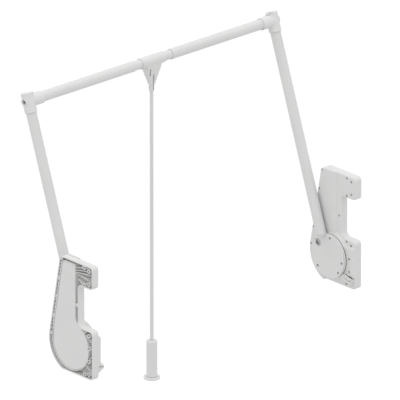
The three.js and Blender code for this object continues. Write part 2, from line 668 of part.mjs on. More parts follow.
const railPlace = [0, ARM_LENGTH];
const socketStart = ARM_LEVEL + SOCKET_FLOOR;
const socketEnd = ARM_LEVEL + SOCKET_LENGTH;
const screwSeat = SCREW_HEAD_END + GAP;
const grubStart = ARM_LENGTH + TUBE_RADIUS;
const grubHead = ARM_LENGTH + ELBOW_STEP_HEIGHT + GAP;

function elbow() {
  const top = ARM_LENGTH + ELBOW_ABOVE;
  const upright = turned([
    [0, elbowStart],
    [ELBOW_RADIUS, elbowStart],
    [ELBOW_RADIUS, top - ELBOW_CHAMFER],
    [ELBOW_RADIUS - ELBOW_CHAMFER, top],
    [0, top],
  ]);
  const standing = toSolid(toGeometry(upright, false).translate(0, 0, ARM_LEVEL));
  const step = block(
    [-ELBOW_RADIUS - OVERSHOOT, ARM_LENGTH + ELBOW_STEP_HEIGHT, ELBOW_STEP_LEVEL],
    [ELBOW_RADIUS + OVERSHOOT, top + OVERSHOOT, socketEnd + OVERSHOOT],
  );
  return cut(join([
    standing,
    alongArm(SPIGOT_RADIUS, elbowStart - SPIGOT_LENGTH, elbowStart + OVERSHOOT),
    post(railPlace, SOCKET_RADIUS, ARM_LEVEL, socketEnd, ROUND),
    post(railPlace, SCREW_BOSS_RADIUS, SCREW_BOSS_START, ARM_LEVEL, ROUND),
  ]), [
    step,
    post(railPlace, TUBE_RADIUS + GAP, socketStart, socketEnd + OVERSHOOT, ROUND),
    post(railPlace, SCREW_HEAD_RADIUS + GAP, SCREW_BOSS_START - OVERSHOOT, screwSeat, SMALL_ROUND),
    post(railPlace, SCREW_SHANK_RADIUS + GAP, screwSeat - OVERSHOOT, socketStart + OVERSHOOT),
    alongArm(GRUB_SHANK_RADIUS + GAP, grubStart, grubHead + OVERSHOOT, GRUB_LEVEL, TINY_ROUND),
  ]);
}

const plugStart = socketStart + GAP * 2;
const plugEnd = plugStart + PLUG_LENGTH;
addPair("elbow", plastic, elbow(), "arm");
const screwFloor = SCREW_HEAD_START + SCREW_SOCKET_DEPTH;
addPair("elbow_screw", steel, cut(join([
  post(railPlace, SCREW_HEAD_RADIUS, SCREW_HEAD_START, SCREW_HEAD_END),
  post(railPlace, SCREW_SHANK_RADIUS, SCREW_HEAD_END - OVERSHOOT, plugEnd - SCREW_SHORT_OF_PLUG),
]), [hexSocket(railPlace, SCREW_SOCKET_RADIUS, SCREW_HEAD_START - OVERSHOOT, screwFloor)]), "arm");
addPair("rail_plug", acetal, post(railPlace, CENTRE_TUBE_RADIUS, plugStart, plugEnd, ROUND)
  .subtract(post(railPlace, SCREW_SHANK_RADIUS + GAP, socketStart, plugEnd - PLUG_END)), "arm");
addPair("elbow_grub_screw", plastic, join([
  alongArm(GRUB_SHANK_RADIUS, grubStart + GAP * 2, grubHead + GAP, GRUB_LEVEL, TINY_ROUND),
  alongArm(GRUB_HEAD_RADIUS, grubHead, grubHead + GRUB_HEAD_HEIGHT, GRUB_LEVEL, SMALL_ROUND),
]), "arm");

const outerTubeStart = socketStart + GAP;
const outerTubeWall = TUBE_RADIUS - CENTRE_TUBE_RADIUS - GAP;
const outerTubeLength = WALL_X - OUTER_TUBE_END - outerTubeStart;
const outerTube = toGeometry(tube(outerTubeLength, TUBE_RADIUS, outerTubeWall), false)
  .translate(0, ARM_LENGTH, outerTubeStart);
addPair("rail_outer_tube", paint, toSolid(outerTube), "arm");

// ---- middle of the rail, pull bracket, rod and handle: drawn about the rail axis ----
const middle = new THREE.Group();
middle.position.set(0, ARM_LENGTH * Math.sin(ARM_LEAN), ARM_LENGTH * Math.cos(ARM_LEAN));
rack.add(middle);

function addMiddle(name, material, solid) {
  const mesh = new THREE.Mesh(toGeometry(solid, false), material);
  mesh.name = name;
  middle.add(mesh);
}

// A round bar along the rail, centred on the middle.
function alongRail(radius, half, sides = ROUND, height = 0) {
  const bar = new THREE.CylinderGeometry(radius, radius, 2 * half, sides);
  return toSolid(bar.rotateZ(Math.PI / 2).translate(0, 0, height));
}

// A round bar that hangs from one height to a lower one.
function hanging(radius, high, low, sides = ROUND) {
  return toSolid(new THREE.CylinderGeometry(radius, radius, high - low, sides).rotateX(Math.PI / 2)
    .translate(0, 0, (high + low) / 2));
}

// A turned piece that hangs, from [radius, height] points that start and end on its axis.
function hangingTurned(profile) {
  return toSolid(toGeometry(turned(profile), false).rotateX(Math.PI / 2));
}

addMiddle("rail_centre_tube", paint, alongRail(CENTRE_TUBE_RADIUS, CENTRE_TUBE_HALF)
  .subtract(alongRail(CENTRE_TUBE_RADIUS - CENTRE_TUBE_WALL, CENTRE_TUBE_HALF + OVERSHOOT)));

const rodPin = alongRail(ROD_PIN_RADIUS, ROD_PIN_HALF, SMALL_ROUND, ROD_PIN_Z);
const rodPinHole = alongRail(ROD_PIN_RADIUS + GAP, 2 * ROD_SOCKET_RADIUS, SMALL_ROUND, ROD_PIN_Z);

// The web under the sleeve, which tapers in width and in depth towards the rod's socket.
function taperedWeb() {
  const web = new THREE.BoxGeometry(2, 2, WEB_TOP - WEB_BOTTOM);
  const points = web.attributes.position;
  for (let i = 0; i < points.count; i += 1) {
    const [halfWidth, halfDepth] = points.getZ(i) > 0 ? WEB_TOP_HALF : WEB_BOTTOM_HALF;
    points.setXY(i, points.getX(i) * halfWidth, points.getY(i) * halfDepth);
  }
  return toSolid(web.translate(0, 0, (WEB_TOP + WEB_BOTTOM) / 2));
}

function pullBracket() {
  const slot = block(
    [-SLOT_HALF, -ROD_SOCKET_RADIUS - OVERSHOOT, ROD_SOCKET_BOTTOM - OVERSHOOT],
    [SLOT_HALF, 0, SLOT_TOP],
  );
  return cut(join([
    alongRail(SLEEVE_RADIUS, SLEEVE_HALF),
    taperedWeb(),
    hanging(ROD_SOCKET_RADIUS, ROD_SOCKET_TOP, ROD_SOCKET_BOTTOM),
  ]), [
    alongRail(CENTRE_TUBE_RADIUS + GAP, SLEEVE_HALF + OVERSHOOT),
    hanging(ROD_RADIUS + GAP, ROD_TOP + GAP, ROD_SOCKET_BOTTOM - OVERSHOOT),
    slot,
    rodPinHole,
  ]);
}

const handleTop = HANDLE_BOTTOM + HANDLE_HEIGHT;
const boreEnd = handleTop - HANDLE_BORE_DEPTH;

addMiddle("pull_bracket", plastic, pullBracket());
addMiddle("rod_pin", steel, rodPin);
addMiddle("pull_rod", paint, hanging(ROD_RADIUS, ROD_TOP, boreEnd + GAP, ROD_ROUND).subtract(rodPinHole));

const gripBottom = HANDLE_BOTTOM + FLANGE_HEIGHT + GAP;
addMiddle("handle_grip", plastic, hangingTurned([
  [0, gripBottom],
  [HANDLE_RADIUS, gripBottom],
  [HANDLE_RADIUS, handleTop - HANDLE_CHAMFER],
  [HANDLE_RADIUS - HANDLE_CHAMFER, handleTop],
  [0, handleTop],
]).subtract(hanging(ROD_RADIUS + GAP, handleTop + OVERSHOOT, boreEnd, ROD_ROUND)));
addMiddle("handle_base", plastic, hangingTurned([
  [0, HANDLE_BOTTOM],
  [FLANGE_RADIUS - FLANGE_EDGE, HANDLE_BOTTOM],
  [FLANGE_RADIUS, HANDLE_BOTTOM + FLANGE_EDGE],
  [FLANGE_RADIUS, HANDLE_BOTTOM + FLANGE_HEIGHT - FLANGE_EDGE],
  [FLANGE_RADIUS - FLANGE_EDGE, HANDLE_BOTTOM + FLANGE_HEIGHT],
  [0, HANDLE_BOTTOM + FLANGE_HEIGHT],
]));

export default rack;
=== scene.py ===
"""A pull-down wardrobe rail: two spring housings for the side walls, two swing arms, a telescopic rail and a
pull rod with a handle.

Side pieces are drawn in millimetres in the frame of their wall: x forward from the swing axis, y up, and
z the level, which is the distance from the wall. Arm pieces are drawn upright in the same frame and then lean
back. Middle pieces are drawn about the rail axis.
"""
import json
import math

import bmesh
import bpy
from mathutils import Matrix, Vector

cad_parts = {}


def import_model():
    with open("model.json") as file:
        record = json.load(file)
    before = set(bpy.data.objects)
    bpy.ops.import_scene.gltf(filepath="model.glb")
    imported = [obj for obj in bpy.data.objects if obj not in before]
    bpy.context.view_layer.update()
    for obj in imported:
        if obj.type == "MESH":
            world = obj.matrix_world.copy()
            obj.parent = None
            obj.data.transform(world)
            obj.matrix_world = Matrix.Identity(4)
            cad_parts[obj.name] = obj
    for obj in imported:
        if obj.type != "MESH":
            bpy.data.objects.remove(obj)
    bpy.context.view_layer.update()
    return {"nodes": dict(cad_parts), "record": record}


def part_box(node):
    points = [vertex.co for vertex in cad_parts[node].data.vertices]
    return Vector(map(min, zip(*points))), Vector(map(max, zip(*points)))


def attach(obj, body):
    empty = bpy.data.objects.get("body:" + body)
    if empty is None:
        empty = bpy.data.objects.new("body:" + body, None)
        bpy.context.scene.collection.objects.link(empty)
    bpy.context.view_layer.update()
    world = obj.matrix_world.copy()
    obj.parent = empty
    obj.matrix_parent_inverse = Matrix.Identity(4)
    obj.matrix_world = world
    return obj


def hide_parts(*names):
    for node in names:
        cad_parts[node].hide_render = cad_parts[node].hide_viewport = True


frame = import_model()

MM = 0.001
SIDES = (("left", -1), ("right", 1))

# ---- places taken from the frame, in millimetres ----
HOUSING_LOW, HOUSING_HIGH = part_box("right_housing_shell")
WALL_X = HOUSING_HIGH.x / MM
EAR_FRONT = -HOUSING_LOW.y / MM
BODY_TOP = HOUSING_HIGH.z / MM
BODY_BOTTOM = HOUSING_LOW.z / MM
OUTER_LOW, OUTER_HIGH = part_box("right_rail_outer_tube")
TUBE_RADIUS = (OUTER_HIGH.z - OUTER_LOW.z) / 2 / MM
OUTER_TUBE_START = WALL_X - OUTER_HIGH.x / MM
OUTER_TUBE_END = WALL_X - OUTER_LOW.x / MM
CENTRE_LOW, CENTRE_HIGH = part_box("rail_centre_tube")
CENTRE_TUBE_RADIUS = (CENTRE_HIGH.z - CENTRE_LOW.z) / 2 / MM
CENTRE_TUBE_HALF = CENTRE_HIGH.x / MM
RAIL_CENTRE = (CENTRE_LOW + CENTRE_HIGH) / 2
ARM_LEAN = math.atan2(RAIL_CENTRE.y, RAIL_CENTRE.z)
ARM_LENGTH = math.hypot(RAIL_CENTRE.y, RAIL_CENTRE.z) / MM
HUB_LOW, HUB_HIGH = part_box("right_hub_cap")
HUB_RADIUS = (HUB_HIGH.z - HUB_LOW.z) / 2 / MM
CAP_START = WALL_X - HUB_HIGH.x / MM
CAP_END = WALL_X - HUB_LOW.x / MM
HANDLE_LOW, HANDLE_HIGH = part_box("handle_grip")
FLANGE_LOW, FLANGE_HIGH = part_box("handle_base")

# ---- the rest of the design, in millimetres; a level is a distance from the wall ----
GAP = 0.3  # clearance between neighbouring pieces
ARM_LEVEL = 40
ARM_LOW = math.radians(-19)  # direction of the lowered arm, from straight forward

# outline of the housing
BODY_RADIUS = 74
BACK_NORMAL = math.radians(169.3)  # direction that the sloping back edge faces
NECK_FRONT = 28
NECK_FILLET = 14
LOWER_EAR_TOP = 52
UPPER_EAR_BOTTOM = 156
EAR_CORNER = 9
BACK_ARC_STEPS = 28
SKIN = 2.5  # thickness of the moulding
PLATE_LEVEL = 20
FACE_EDGE = 3.4  # rounding towards the inside of the wardrobe
WALL_EDGE = 0.4
FLUSH = 0.02  # keeps a raised area just inside the outline of the plate below it

# raised areas of the inner face
TOWER_LEVEL = 25
TOWER_EDGE_START = -2
TOWER_EDGE_END = 15
TOWER_BACK_EDGE = 2.4
LOWER_BACK_END = -24
MARK = (-26, 189)  # a tiny dimple high on the tower
MARK_FLOOR = 23.8
PIVOT_PAD_BASE = 63
PIVOT_PAD_TOP = 55
PIVOT_PAD_LEVEL = 26.6
PIVOT_RECESS_RADIUS = 21.5
PAD_LEVEL = 26.5
PAD_HALF_HEIGHT = 33
PAD_SLOPE = 6

# spring chamber, open to the wall, and its cover
CHAMBER_RADIUS = 62
CHAMBER_FRONT = 17
CHAMBER_TOP = 204
CHAMBER_BACK = 66
CHAMBER_WALL = 2.2
CRANK_SPACE_RADIUS = 50
COVER_START = 1
COVER_END = 2.8
BUSH_BOSS_RADIUS = 18
BUSH_BOSS_START = 14
BUSH_BORE_RADIUS = 13.3
ANCHOR = (-12, 188)
ANCHOR_BOSS_RADIUS = 7
ANCHOR_BORE_RADIUS = 4.3
CRANK_PIN = (-8, 38)
SPRING_LEVEL = 14.6

# screw holes, posts and ribs
MOUNT_BOSS_RADIUS = 5
MOUNT_HOLE_RADIUS = 3.2
SYSTEM_LINE = 62.5
SYSTEM_HOLES = (200, 168, 40, 8, -24, -56)
INNER_LINE = 47
INNER_HOLES = (205, 161, 46, -60)
POST_RADIUS = 4.6
POST_START = 2
POST_HOLE_RADIUS = 2.8
POST_HOLE_START = 10
POST_INSET = 4
BACK_POSTS = (205, 155, 106, 55, 10)
FRONT_POST = (21.3, 104.5)
HOLE_CHAMFER = 0.3
RIB_START = 1.5
RIB_THICKNESS = 1.6
BACK_RIB_BOTTOM = 24
BACK_RIB_PITCH = 9
BACK_RIB_COUNT = 20

# stop under the lowered arm
STOP_START = 57
STOP_END = 84
STOP_TOP_LEVEL = 38.5
BUMPER_START = 28
BUMPER_THICKNESS = 3.2
BUMPER_TOP = -TUBE_RADIUS - GAP
LUG_TOP = BUMPER_TOP - BUMPER_THICKNESS - GAP
LUG_THICKNESS = 6
BUTTRESS_REACH = 21
BUTTRESS_LEVEL = 37

# hub, cap and their screws
HUB_START = 28
HUB_FACE = 34
AXLE_BORE_RADIUS = 9.3
COLLAR_FOOT = 52
COLLAR_RADIUS = 13.5
COLLAR_BACK = 27.5  # the collar and spigot are cut flat here, clear of the housing
SPIGOT_RADIUS = 10.6
SPIGOT_LENGTH = 32
CAP_SCREW_CIRCLE = 47.5
CAP_SCREW_ANGLES = (82, -6, -42, -136)
CAP_SCREW_SEAT = HUB_FACE - 4
CAP_SCREW_BORE = 1.9
CAP_SCREW_MOUTH = 3.2
TENSION_SCREW = (-34, 26)
TENSION_SEAT = HUB_FACE - 3
TENSION_BORE = 4.3
TENSION_MOUTH = 8.8
TENSION_HEAD_RADIUS = 8.5
TENSION_SHANK_RADIUS = 4
TENSION_SOCKET_RADIUS = 6.4

# elbow and its screws
ELBOW_RADIUS = 14.7
ELBOW_BELOW = 27.5
ELBOW_ABOVE = 20
ELBOW_STEP_LEVEL = 43.5
ELBOW_STEP_HEIGHT = 14.6
SOCKET_RADIUS = 15
SOCKET_FLOOR = ARM_LEVEL + 10
SOCKET_END = ARM_LEVEL + 39
SCREW_BOSS_RADIUS = 9
SCREW_BOSS_START = 24.4
SCREW_MOUTH_RADIUS = 8.3
SCREW_MOUTH_END = 26
SCREW_SHANK_RADIUS = 3
SCREW_SOCKET_END = 31
SCREW_HEAD_START = 28
SCREW_HEAD_END = 33
SCREW_HEAD_RADIUS = 5.2
SCREW_SOCKET_RADIUS = 3.2
SCREW_END = 59.6
GRUB_LEVEL = 52.3
GRUB_RADIUS = 2
GRUB_HEAD_RADIUS = 5
GRUB_HEAD_HEIGHT = 3.6

# middle of the rail, bracket, rod and handle
TUBE_WALL = 1.5
SLEEVE_RADIUS = 13.2
SLEEVE_HALF = 36
WEB_TOP, WEB_BOTTOM = -3, -60
WEB_TOP_HALF, WEB_BOTTOM_HALF = (26, 12.4), (6, 5.6)  # half width along the rail and half depth
SLOT_HALF = 2.2
SLOT_TOP = -31.5
SIDE_SLOT = -12
SIDE_SLOT_TOP, SIDE_SLOT_BOTTOM = -17, -34
ROD_RADIUS = 4.3
ROD_TOP = -32
ROD_DEPTH = 60  # how far the rod enters the grip
ROD_SOCKET_RADIUS = 6.4
ROD_SOCKET_TOP = -22
ROD_SOCKET_BOTTOM = -75
ROD_PIN_Z = -66
ROD_PIN_RADIUS = 1.2
ROD_PIN_HALF = 6.4
PIN_HOLE_RADIUS = ROD_PIN_RADIUS + GAP

PAST = 1  # how far a cutting tool reaches beyond the face it cuts
CLEAR = TOWER_LEVEL + 20  # a level beyond every part of the housing
FINE = 192  # sides of the hub
ROUND = 64  # sides of a tube
SMALL = 32  # sides of a hole or screw
TINY = 1e-6  # a radius below this is on the axis


# ---- solids: closed meshes in a list of scratch objects ----
def scratch(points, faces):
    """A closed mesh as a scratch object, its faces turned outwards."""
    mesh = bpy.data.meshes.new("scratch")
    mesh.from_pydata([tuple(p) for p in points], [], faces)
    work = bmesh.new()
    work.from_mesh(mesh)
    bmesh.ops.recalc_face_normals(work, faces=work.faces[:])
    work.to_mesh(mesh)
    work.free()
    obj = bpy.data.objects.new("scratch", mesh)
    bpy.context.scene.collection.objects.link(obj)
    return obj


def rounded(corners, steps=8):
    """A closed outline from (x, y, setback) corners; an arc begins and ends that far from each corner."""
    points = []
    count = len(corners)
    for i, (x, y, setback) in enumerate(corners):
        corner = Vector((x, y))
        if setback <= 0:
            points.append(corner)
            continue
        before = (Vector(corners[i - 1][:2]) - corner).normalized()
        after = (Vector(corners[(i + 1) % count][:2]) - corner).normalized()
        weight = math.sqrt((1 - before.dot(after)) / 2)
        for k in range(steps + 1):
            t = k / steps
            a, b, c = (1 - t) ** 2, 2 * t * (1 - t) * weight, t * t
            start, end = corner + before * setback, corner + after * setback
            points.append((start * a + corner * b + end * c) / (a + b + c))
    return points


def arc(radius, start, end, steps):
    """Corners with no rounding of their own along a circle about the swing axis."""
    angles = [start + (end - start) * i / steps for i in range(steps + 1)]
    return [(radius * math.cos(a), radius * math.sin(a), 0) for a in angles]


def loft(rings):
    """A closed solid through rings of 3-D points of one length, with flat ends."""
    size = len(rings[0])
    points = [p for ring in rings for p in ring]
    faces = [tuple(range(size)), tuple(range((len(rings) - 1) * size, len(rings) * size))]
    for i in range(len(rings) - 1):
        for j in range(size):
            k = (j + 1) % size
            faces.append((i * size + j, i * size + k, (i + 1) * size + k, (i + 1) * size + j))
    return scratch(points, faces)


def prism(outline, stations):
    """A solid through outline(inset) at each (inset, level) station."""
    return loft([[(p.x, p.y, level) for p in outline(inset)] for inset, level in stations])


def quarter_turn(steps):
    """Angles from nothing to a quarter turn."""
    return [math.pi / 2 * i / steps for i in range(steps + 1)]


def edge_stations(base, top, radius, base_radius=0.0):
    """Stations of a straight wall from base to top with rounded edges."""
    turns = quarter_turn(6)
    stations = [(0, base)]
    if base_radius > 0:
        stations = [(base_radius * (1 - math.sin(t)), base + base_radius * (1 - math.cos(t))) for t in turns]
    return stations + [(radius * (1 - math.cos(t)), top - radius * (1 - math.sin(t))) for t in turns]


def turned(profile, place=(0, 0), sides=SMALL):
    """A round solid about the level axis at a place, from (radius, level, setback) corners that begin and end
    on the axis."""
    points, rings = [], []
    for p in rounded(profile, 5):
        if p.x < TINY:
            rings.append([len(points)])
            points.append((place[0], place[1], p.y))
            continue
        rings.append(list(range(len(points), len(points) + sides)))
        for k in range(sides):
            angle = 2 * math.pi * k / sides
            points.append((place[0] + p.x * math.cos(angle), place[1] + p.x * math.sin(angle), p.y))
    faces = []
    for a, b in zip(rings, rings[1:]):
        for k in range(sides):
            n = (k + 1) % sides
            if len(a) == 1:
                faces.append((a[0], b[k], b[n]))
            elif len(b) == 1:
                faces.append((a[k], b[0], a[n]))
            else:
                faces.append((a[k], b[k], b[n], a[n]))
    return scratch(points, faces)


def bar(radius, start, end, place=(0, 0), sides=SMALL, edge=0.0):
    """A round bar along the level axis, with rounded edges."""
    return turned([(0, start, 0), (radius, start, edge), (radius, end, edge), (0, end, 0)], place, sides)


def hexagon(radius, start, end, place):
    """A six-sided bar along the level axis, for a key's socket."""
    return bar(radius, start, end, place, sides=6)


def box(low, high):
    """A box between two opposite corners."""
    (x0, y0, z0), (x1, y1, z1) = low, high
    ring = [(x0, y0), (x1, y0), (x1, y1), (x0, y1)]
    return loft([[(x, y, z) for x, y in ring] for z in (z0, z1)])


def moved(obj, matrix):
    """Moves a solid's points, and keeps its faces outwards when the matrix mirrors it."""
    obj.data.transform(matrix)
    if matrix.determinant() < 0:
        obj.data.flip_normals()
    return obj


def combine(base, operation, *tools):
    """Joins, cuts or keeps the common part of base and each tool in turn, and removes the tools."""
    for tool in tools:
        step = base.modifiers.new("combine", "BOOLEAN")
        step.operation = operation
        step.solver = "MANIFOLD"
        step.object = tool
        done = base.evaluated_get(bpy.context.evaluated_depsgraph_get())
        mesh = bpy.data.meshes.new_from_object(done)
        base.modifiers.clear()
        base.data = mesh
        bpy.data.objects.remove(tool)
    return base


def join(base, *tools):
    return combine(base, "UNION", *tools)


def cut(base, *tools):
    return combine(base, "DIFFERENCE", *tools)


def common(base, *tools):
    return combine(base, "INTERSECT", *tools)


def sweep(path, radius):
    """A round wire along a path of 3-D points."""
    sides = 8
    rings = []
    previous = None
    for i, point in enumerate(path):
        ahead = (path[min(i + 1, len(path) - 1)] - path[max(i - 1, 0)]).normalized()
        across = ahead.orthogonal() if previous is None else previous - ahead * previous.dot(ahead)
        across.normalize()
        previous = across
        other = ahead.cross(across)
        turns = [2 * math.pi * k / sides for k in range(sides)]
        rings.append([point + (across * math.cos(t) + other * math.sin(t)) * radius for t in turns])
    return loft(rings)


# ---- materials ----
def new_material(name, colour, roughness, metallic=0.0):
    """A material, its node tree and its shader; a linked socket later overrules the value given here."""
    material = bpy.data.materials.new(name)
    material.use_nodes = True
    shader = material.node_tree.nodes["Principled BSDF"]
    shader.inputs["Base Color"].default_value = (*colour, 1)
    shader.inputs["Roughness"].default_value = roughness
    shader.inputs["Metallic"].default_value = metallic
    return material, material.node_tree, shader


def noise(tree, scale, detail=2.0, stretch=(1, 1, 1)):
    """Noise in the object's own coordinates, in features per metre."""
    coordinates = tree.nodes.new("ShaderNodeTexCoord")
    mapping = tree.nodes.new("ShaderNodeMapping")
    mapping.inputs["Scale"].default_value = stretch
    texture = tree.nodes.new("ShaderNodeTexNoise")
    texture.inputs["Scale"].default_value = scale
    texture.inputs["Detail"].default_value = detail
    tree.links.new(coordinates.outputs["Object"], mapping.inputs["Vector"])
    tree.links.new(mapping.outputs["Vector"], texture.inputs["Vector"])
    return texture.outputs["Fac"]


def remap(tree, value, low, high):
    """The middle of a noise value stretched to run from low to high."""
    node = tree.nodes.new("ShaderNodeMapRange")
    node.inputs["From Min"].default_value = 0.3
    node.inputs["From Max"].default_value = 0.7
    node.inputs["To Min"].default_value = low
    node.inputs["To Max"].default_value = high
    tree.links.new(value, node.inputs["Value"])
    return node.outputs["Result"]


def painted_cavity_shade(tree, colour, reach, closed, open_to_light, darkest):
    """A colour with painted shade: it darkens in holes and narrow gaps, where little light reaches."""
    shade = tree.nodes.new("ShaderNodeAmbientOcclusion")
    shade.inputs["Distance"].default_value = reach
    deepen = tree.nodes.new("ShaderNodeMapRange")
    deepen.inputs["From Min"].default_value = closed
    deepen.inputs["From Max"].default_value = open_to_light
    deepen.inputs["To Min"].default_value = darkest
    deepen.inputs["To Max"].default_value = 1
    mix = tree.nodes.new("ShaderNodeMix")
    mix.data_type = "RGBA"
    mix.blend_type = "MULTIPLY"
    factor, first, second = [socket for socket in mix.inputs if socket.enabled]
    factor.default_value = 1
    tree.links.new(shade.outputs["AO"], deepen.inputs["Value"])
    tree.links.new(colour, first)
    tree.links.new(deepen.outputs["Result"], second)
    return next(socket for socket in mix.outputs if socket.enabled)


def tint(tree, shader, value, dark, light, cavity_shade=None):
    """Base colour that drifts between two tones, and may carry painted shade in cavities."""
    ramp = tree.nodes.new("ShaderNodeValToRGB")
    ramp.color_ramp.elements[0].position = 0.3
    ramp.color_ramp.elements[0].color = (*dark, 1)
    ramp.color_ramp.elements[1].position = 0.7
    ramp.color_ramp.elements[1].color = (*light, 1)
    tree.links.new(value, ramp.inputs["Fac"])
    colour = ramp.outputs["Color"] if cavity_shade is None else painted_cavity_shade(tree, ramp.outputs["Color"], *cavity_shade)
    tree.links.new(colour, shader.inputs["Base Color"])


def bump(tree, shader, value, height, strength):
    """Fine relief from a value, with its height in metres."""
    node = tree.nodes.new("ShaderNodeBump")
    node.inputs["Distance"].default_value = height
    node.inputs["Strength"].default_value = strength
    tree.links.new(value, node.inputs["Height"])
    tree.links.new(node.outputs["Normal"], shader.inputs["Normal"])


# Painted shade in holes and gaps: its reach in metres, the openness where it is full and where it ends, and
# its darkest tone.
CAVITY_SHADE = (0.0042, 0.15, 0.5, 0.08)


def moulded_plastic():
    """White moulded plastic with a fine spark-eroded grain."""
    material, tree, shader = new_material("white_plastic", (0.82, 0.82, 0.815), 0.5)
    # painted shade: the base colour darkens in holes and narrow gaps
    tint(tree, shader, noise(tree, 14), (0.765, 0.765, 0.76), (0.785, 0.785, 0.78), CAVITY_SHADE)
    tree.links.new(remap(tree, noise(tree, 60), 0.46, 0.58), shader.inputs["Roughness"])
    bump(tree, shader, noise(tree, 2400, 3), 0.00003, 0.4)
    return material


def powder_coat():
    """White powder coat on steel tube: satin, with a soft orange peel."""
    material, tree, shader = new_material("white_paint", (0.83, 0.83, 0.825), 0.36)
    # painted shade: the base colour darkens in holes and narrow gaps
    tint(tree, shader, noise(tree, 10), (0.745, 0.745, 0.74), (0.765, 0.765, 0.76), CAVITY_SHADE)
    tree.links.new(remap(tree, noise(tree, 90), 0.32, 0.42), shader.inputs["Roughness"])
    bump(tree, shader, noise(tree, 520, 1), 0.00005, 0.35)
    return material


def plated_steel():
    """Zinc-plated steel with turning marks and a few dull patches."""
    material, tree, shader = new_material("steel", (0.5, 0.51, 0.52), 0.35, 1.0)
    tint(tree, shader, noise(tree, 120, 4), (0.42, 0.43, 0.44), (0.58, 0.585, 0.59))
    tree.links.new(remap(tree, noise(tree, 400, 3), 0.26, 0.46), shader.inputs["Roughness"])
    bump(tree, shader, noise(tree, 900, 2, (0.1, 1, 1)), 0.00003, 0.4)
    return material


def bumper_rubber():
    """Soft off-white rubber."""
    material, tree, shader = new_material("bumper_rubber", (0.74, 0.74, 0.72), 0.8)
    tint(tree, shader, noise(tree, 80), (0.70, 0.70, 0.68), (0.76, 0.76, 0.74))
    bump(tree, shader, noise(tree, 1500, 3), 0.00006, 0.6)
    return material


def bearing_plastic():
    """Smooth natural acetal of the bushes and plugs."""
    material, tree, shader = new_material("bush_plastic", (0.72, 0.72, 0.68), 0.4)
    tint(tree, shader, noise(tree, 60), (0.68, 0.68, 0.64), (0.74, 0.74, 0.70))
    bump(tree, shader, noise(tree, 700, 2), 0.00003, 0.3)
    return material


MATERIALS = {
    "white_plastic": moulded_plastic(),
    "white_paint": powder_coat(),
    "steel": plated_steel(),
    "bumper_rubber": bumper_rubber(),
    "bush_plastic": bearing_plastic(),
}
SLOT_OF = {part["node"]: part["material_slot"] for part in frame["record"]["subparts"]}
BODY_OF = {node: body for body, nodes in frame["record"]["behaviour"]["bodies"].items() for node in nodes}

# ---- placing a finished piece ----
def wall_matrix(sign):
    """From the side frame in millimetres to the row frame in metres."""
    return Matrix((
        (0, 0, -sign * MM, sign * WALL_X * MM),
        (-MM, 0, 0, 0),
        (0, MM, 0, 0),
        (0, 0, 0, 1),
    ))


def arm_matrix(sign):
    """From the upright arm's frame to the row frame, with the arm leaning back at rest."""
    return wall_matrix(sign) @ Matrix.Rotation(ARM_LEAN, 4, "Z")


def middle_matrix():
    """From millimetres about the rail axis to the row frame in metres."""
    return Matrix.Translation((0, RAIL_CENTRE.y, RAIL_CENTRE.z)) @ Matrix.Scale(MM, 4)


UPRIGHT = Matrix.Rotation(-math.pi / 2, 4, "X")  # turns a solid drawn along the level axis to run up the arm
SHARP = math.radians(32)


def piece(node, solid, matrix):
    """A finished piece that stands for a CAD node and moves with its body."""
    mesh = solid.data.copy()
    obj = bpy.data.objects.new(f"vis_{node}", mesh)
    bpy.context.scene.collection.objects.link(obj)
    moved(obj, matrix)
    mesh.shade_smooth()
    mesh.set_sharp_from_angle(angle=SHARP)
    normals = obj.modifiers.new("normals", "WEIGHTED_NORMAL")
    normals.keep_sharp = True
    mesh.materials.clear()
    mesh.materials.append(MATERIALS[SLOT_OF[node]])
    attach(obj, BODY_OF[node])
    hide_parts(node)
    return obj


def pair(name, solid, matrix_of):
    """The same solid as a finished piece on each side, mirrored."""
    for side, sign in SIDES:
        piece(f"{side}_{name}", solid, matrix_of(sign))
    bpy.data.objects.remove(solid)


def single(name, solid):
    """A finished piece of the middle of the rail."""
    piece(name, solid, middle_matrix())
    bpy.data.objects.remove(solid)


# ---- housing ----
def back_edge(distance, height):
    """Forward place of the sloping back edge at a height."""
    return (distance - height * math.sin(BACK_NORMAL)) / math.cos(BACK_NORMAL)


def body_outline(inset):
    """The housing's outline, with its two ears and the notch between them."""
    radius, bottom, top = BODY_RADIUS - inset, BODY_BOTTOM + inset, BODY_TOP - inset
    front, neck = EAR_FRONT - inset, NECK_FRONT - inset
    lower_top, upper_bottom = LOWER_EAR_TOP - inset, UPPER_EAR_BOTTOM + inset
    outer = max(EAR_CORNER - inset, 0.5)
    return rounded([
        (front, bottom, outer),
        (front, lower_top, outer),
        (neck, lower_top, NECK_FILLET),
        (neck, upper_bottom, EAR_CORNER + inset),
        (front, upper_bottom, outer),
        (front, top, outer),
        (back_edge(radius, top), top, outer),
        *arc(radius, BACK_NORMAL, math.pi + math.asin(-bottom / radius), BACK_ARC_STEPS),
    ])


def chamber_outline(inset):
    """The spring chamber's outline: round about the axle, and straight up the back to the top."""
    radius, front = CHAMBER_RADIUS - inset, CHAMBER_FRONT - inset
    top, back = CHAMBER_TOP - inset, CHAMBER_BACK - inset
    shoulder, blend_top = 40, 66
    return rounded([
        *arc(radius, math.radians(172), math.radians(418), 60),
        (front, blend_top, 8),
        (front, top, 5),
        (back_edge(back, top), top, EAR_CORNER),
        (back_edge(back, shoulder), shoulder, 0),
    ])


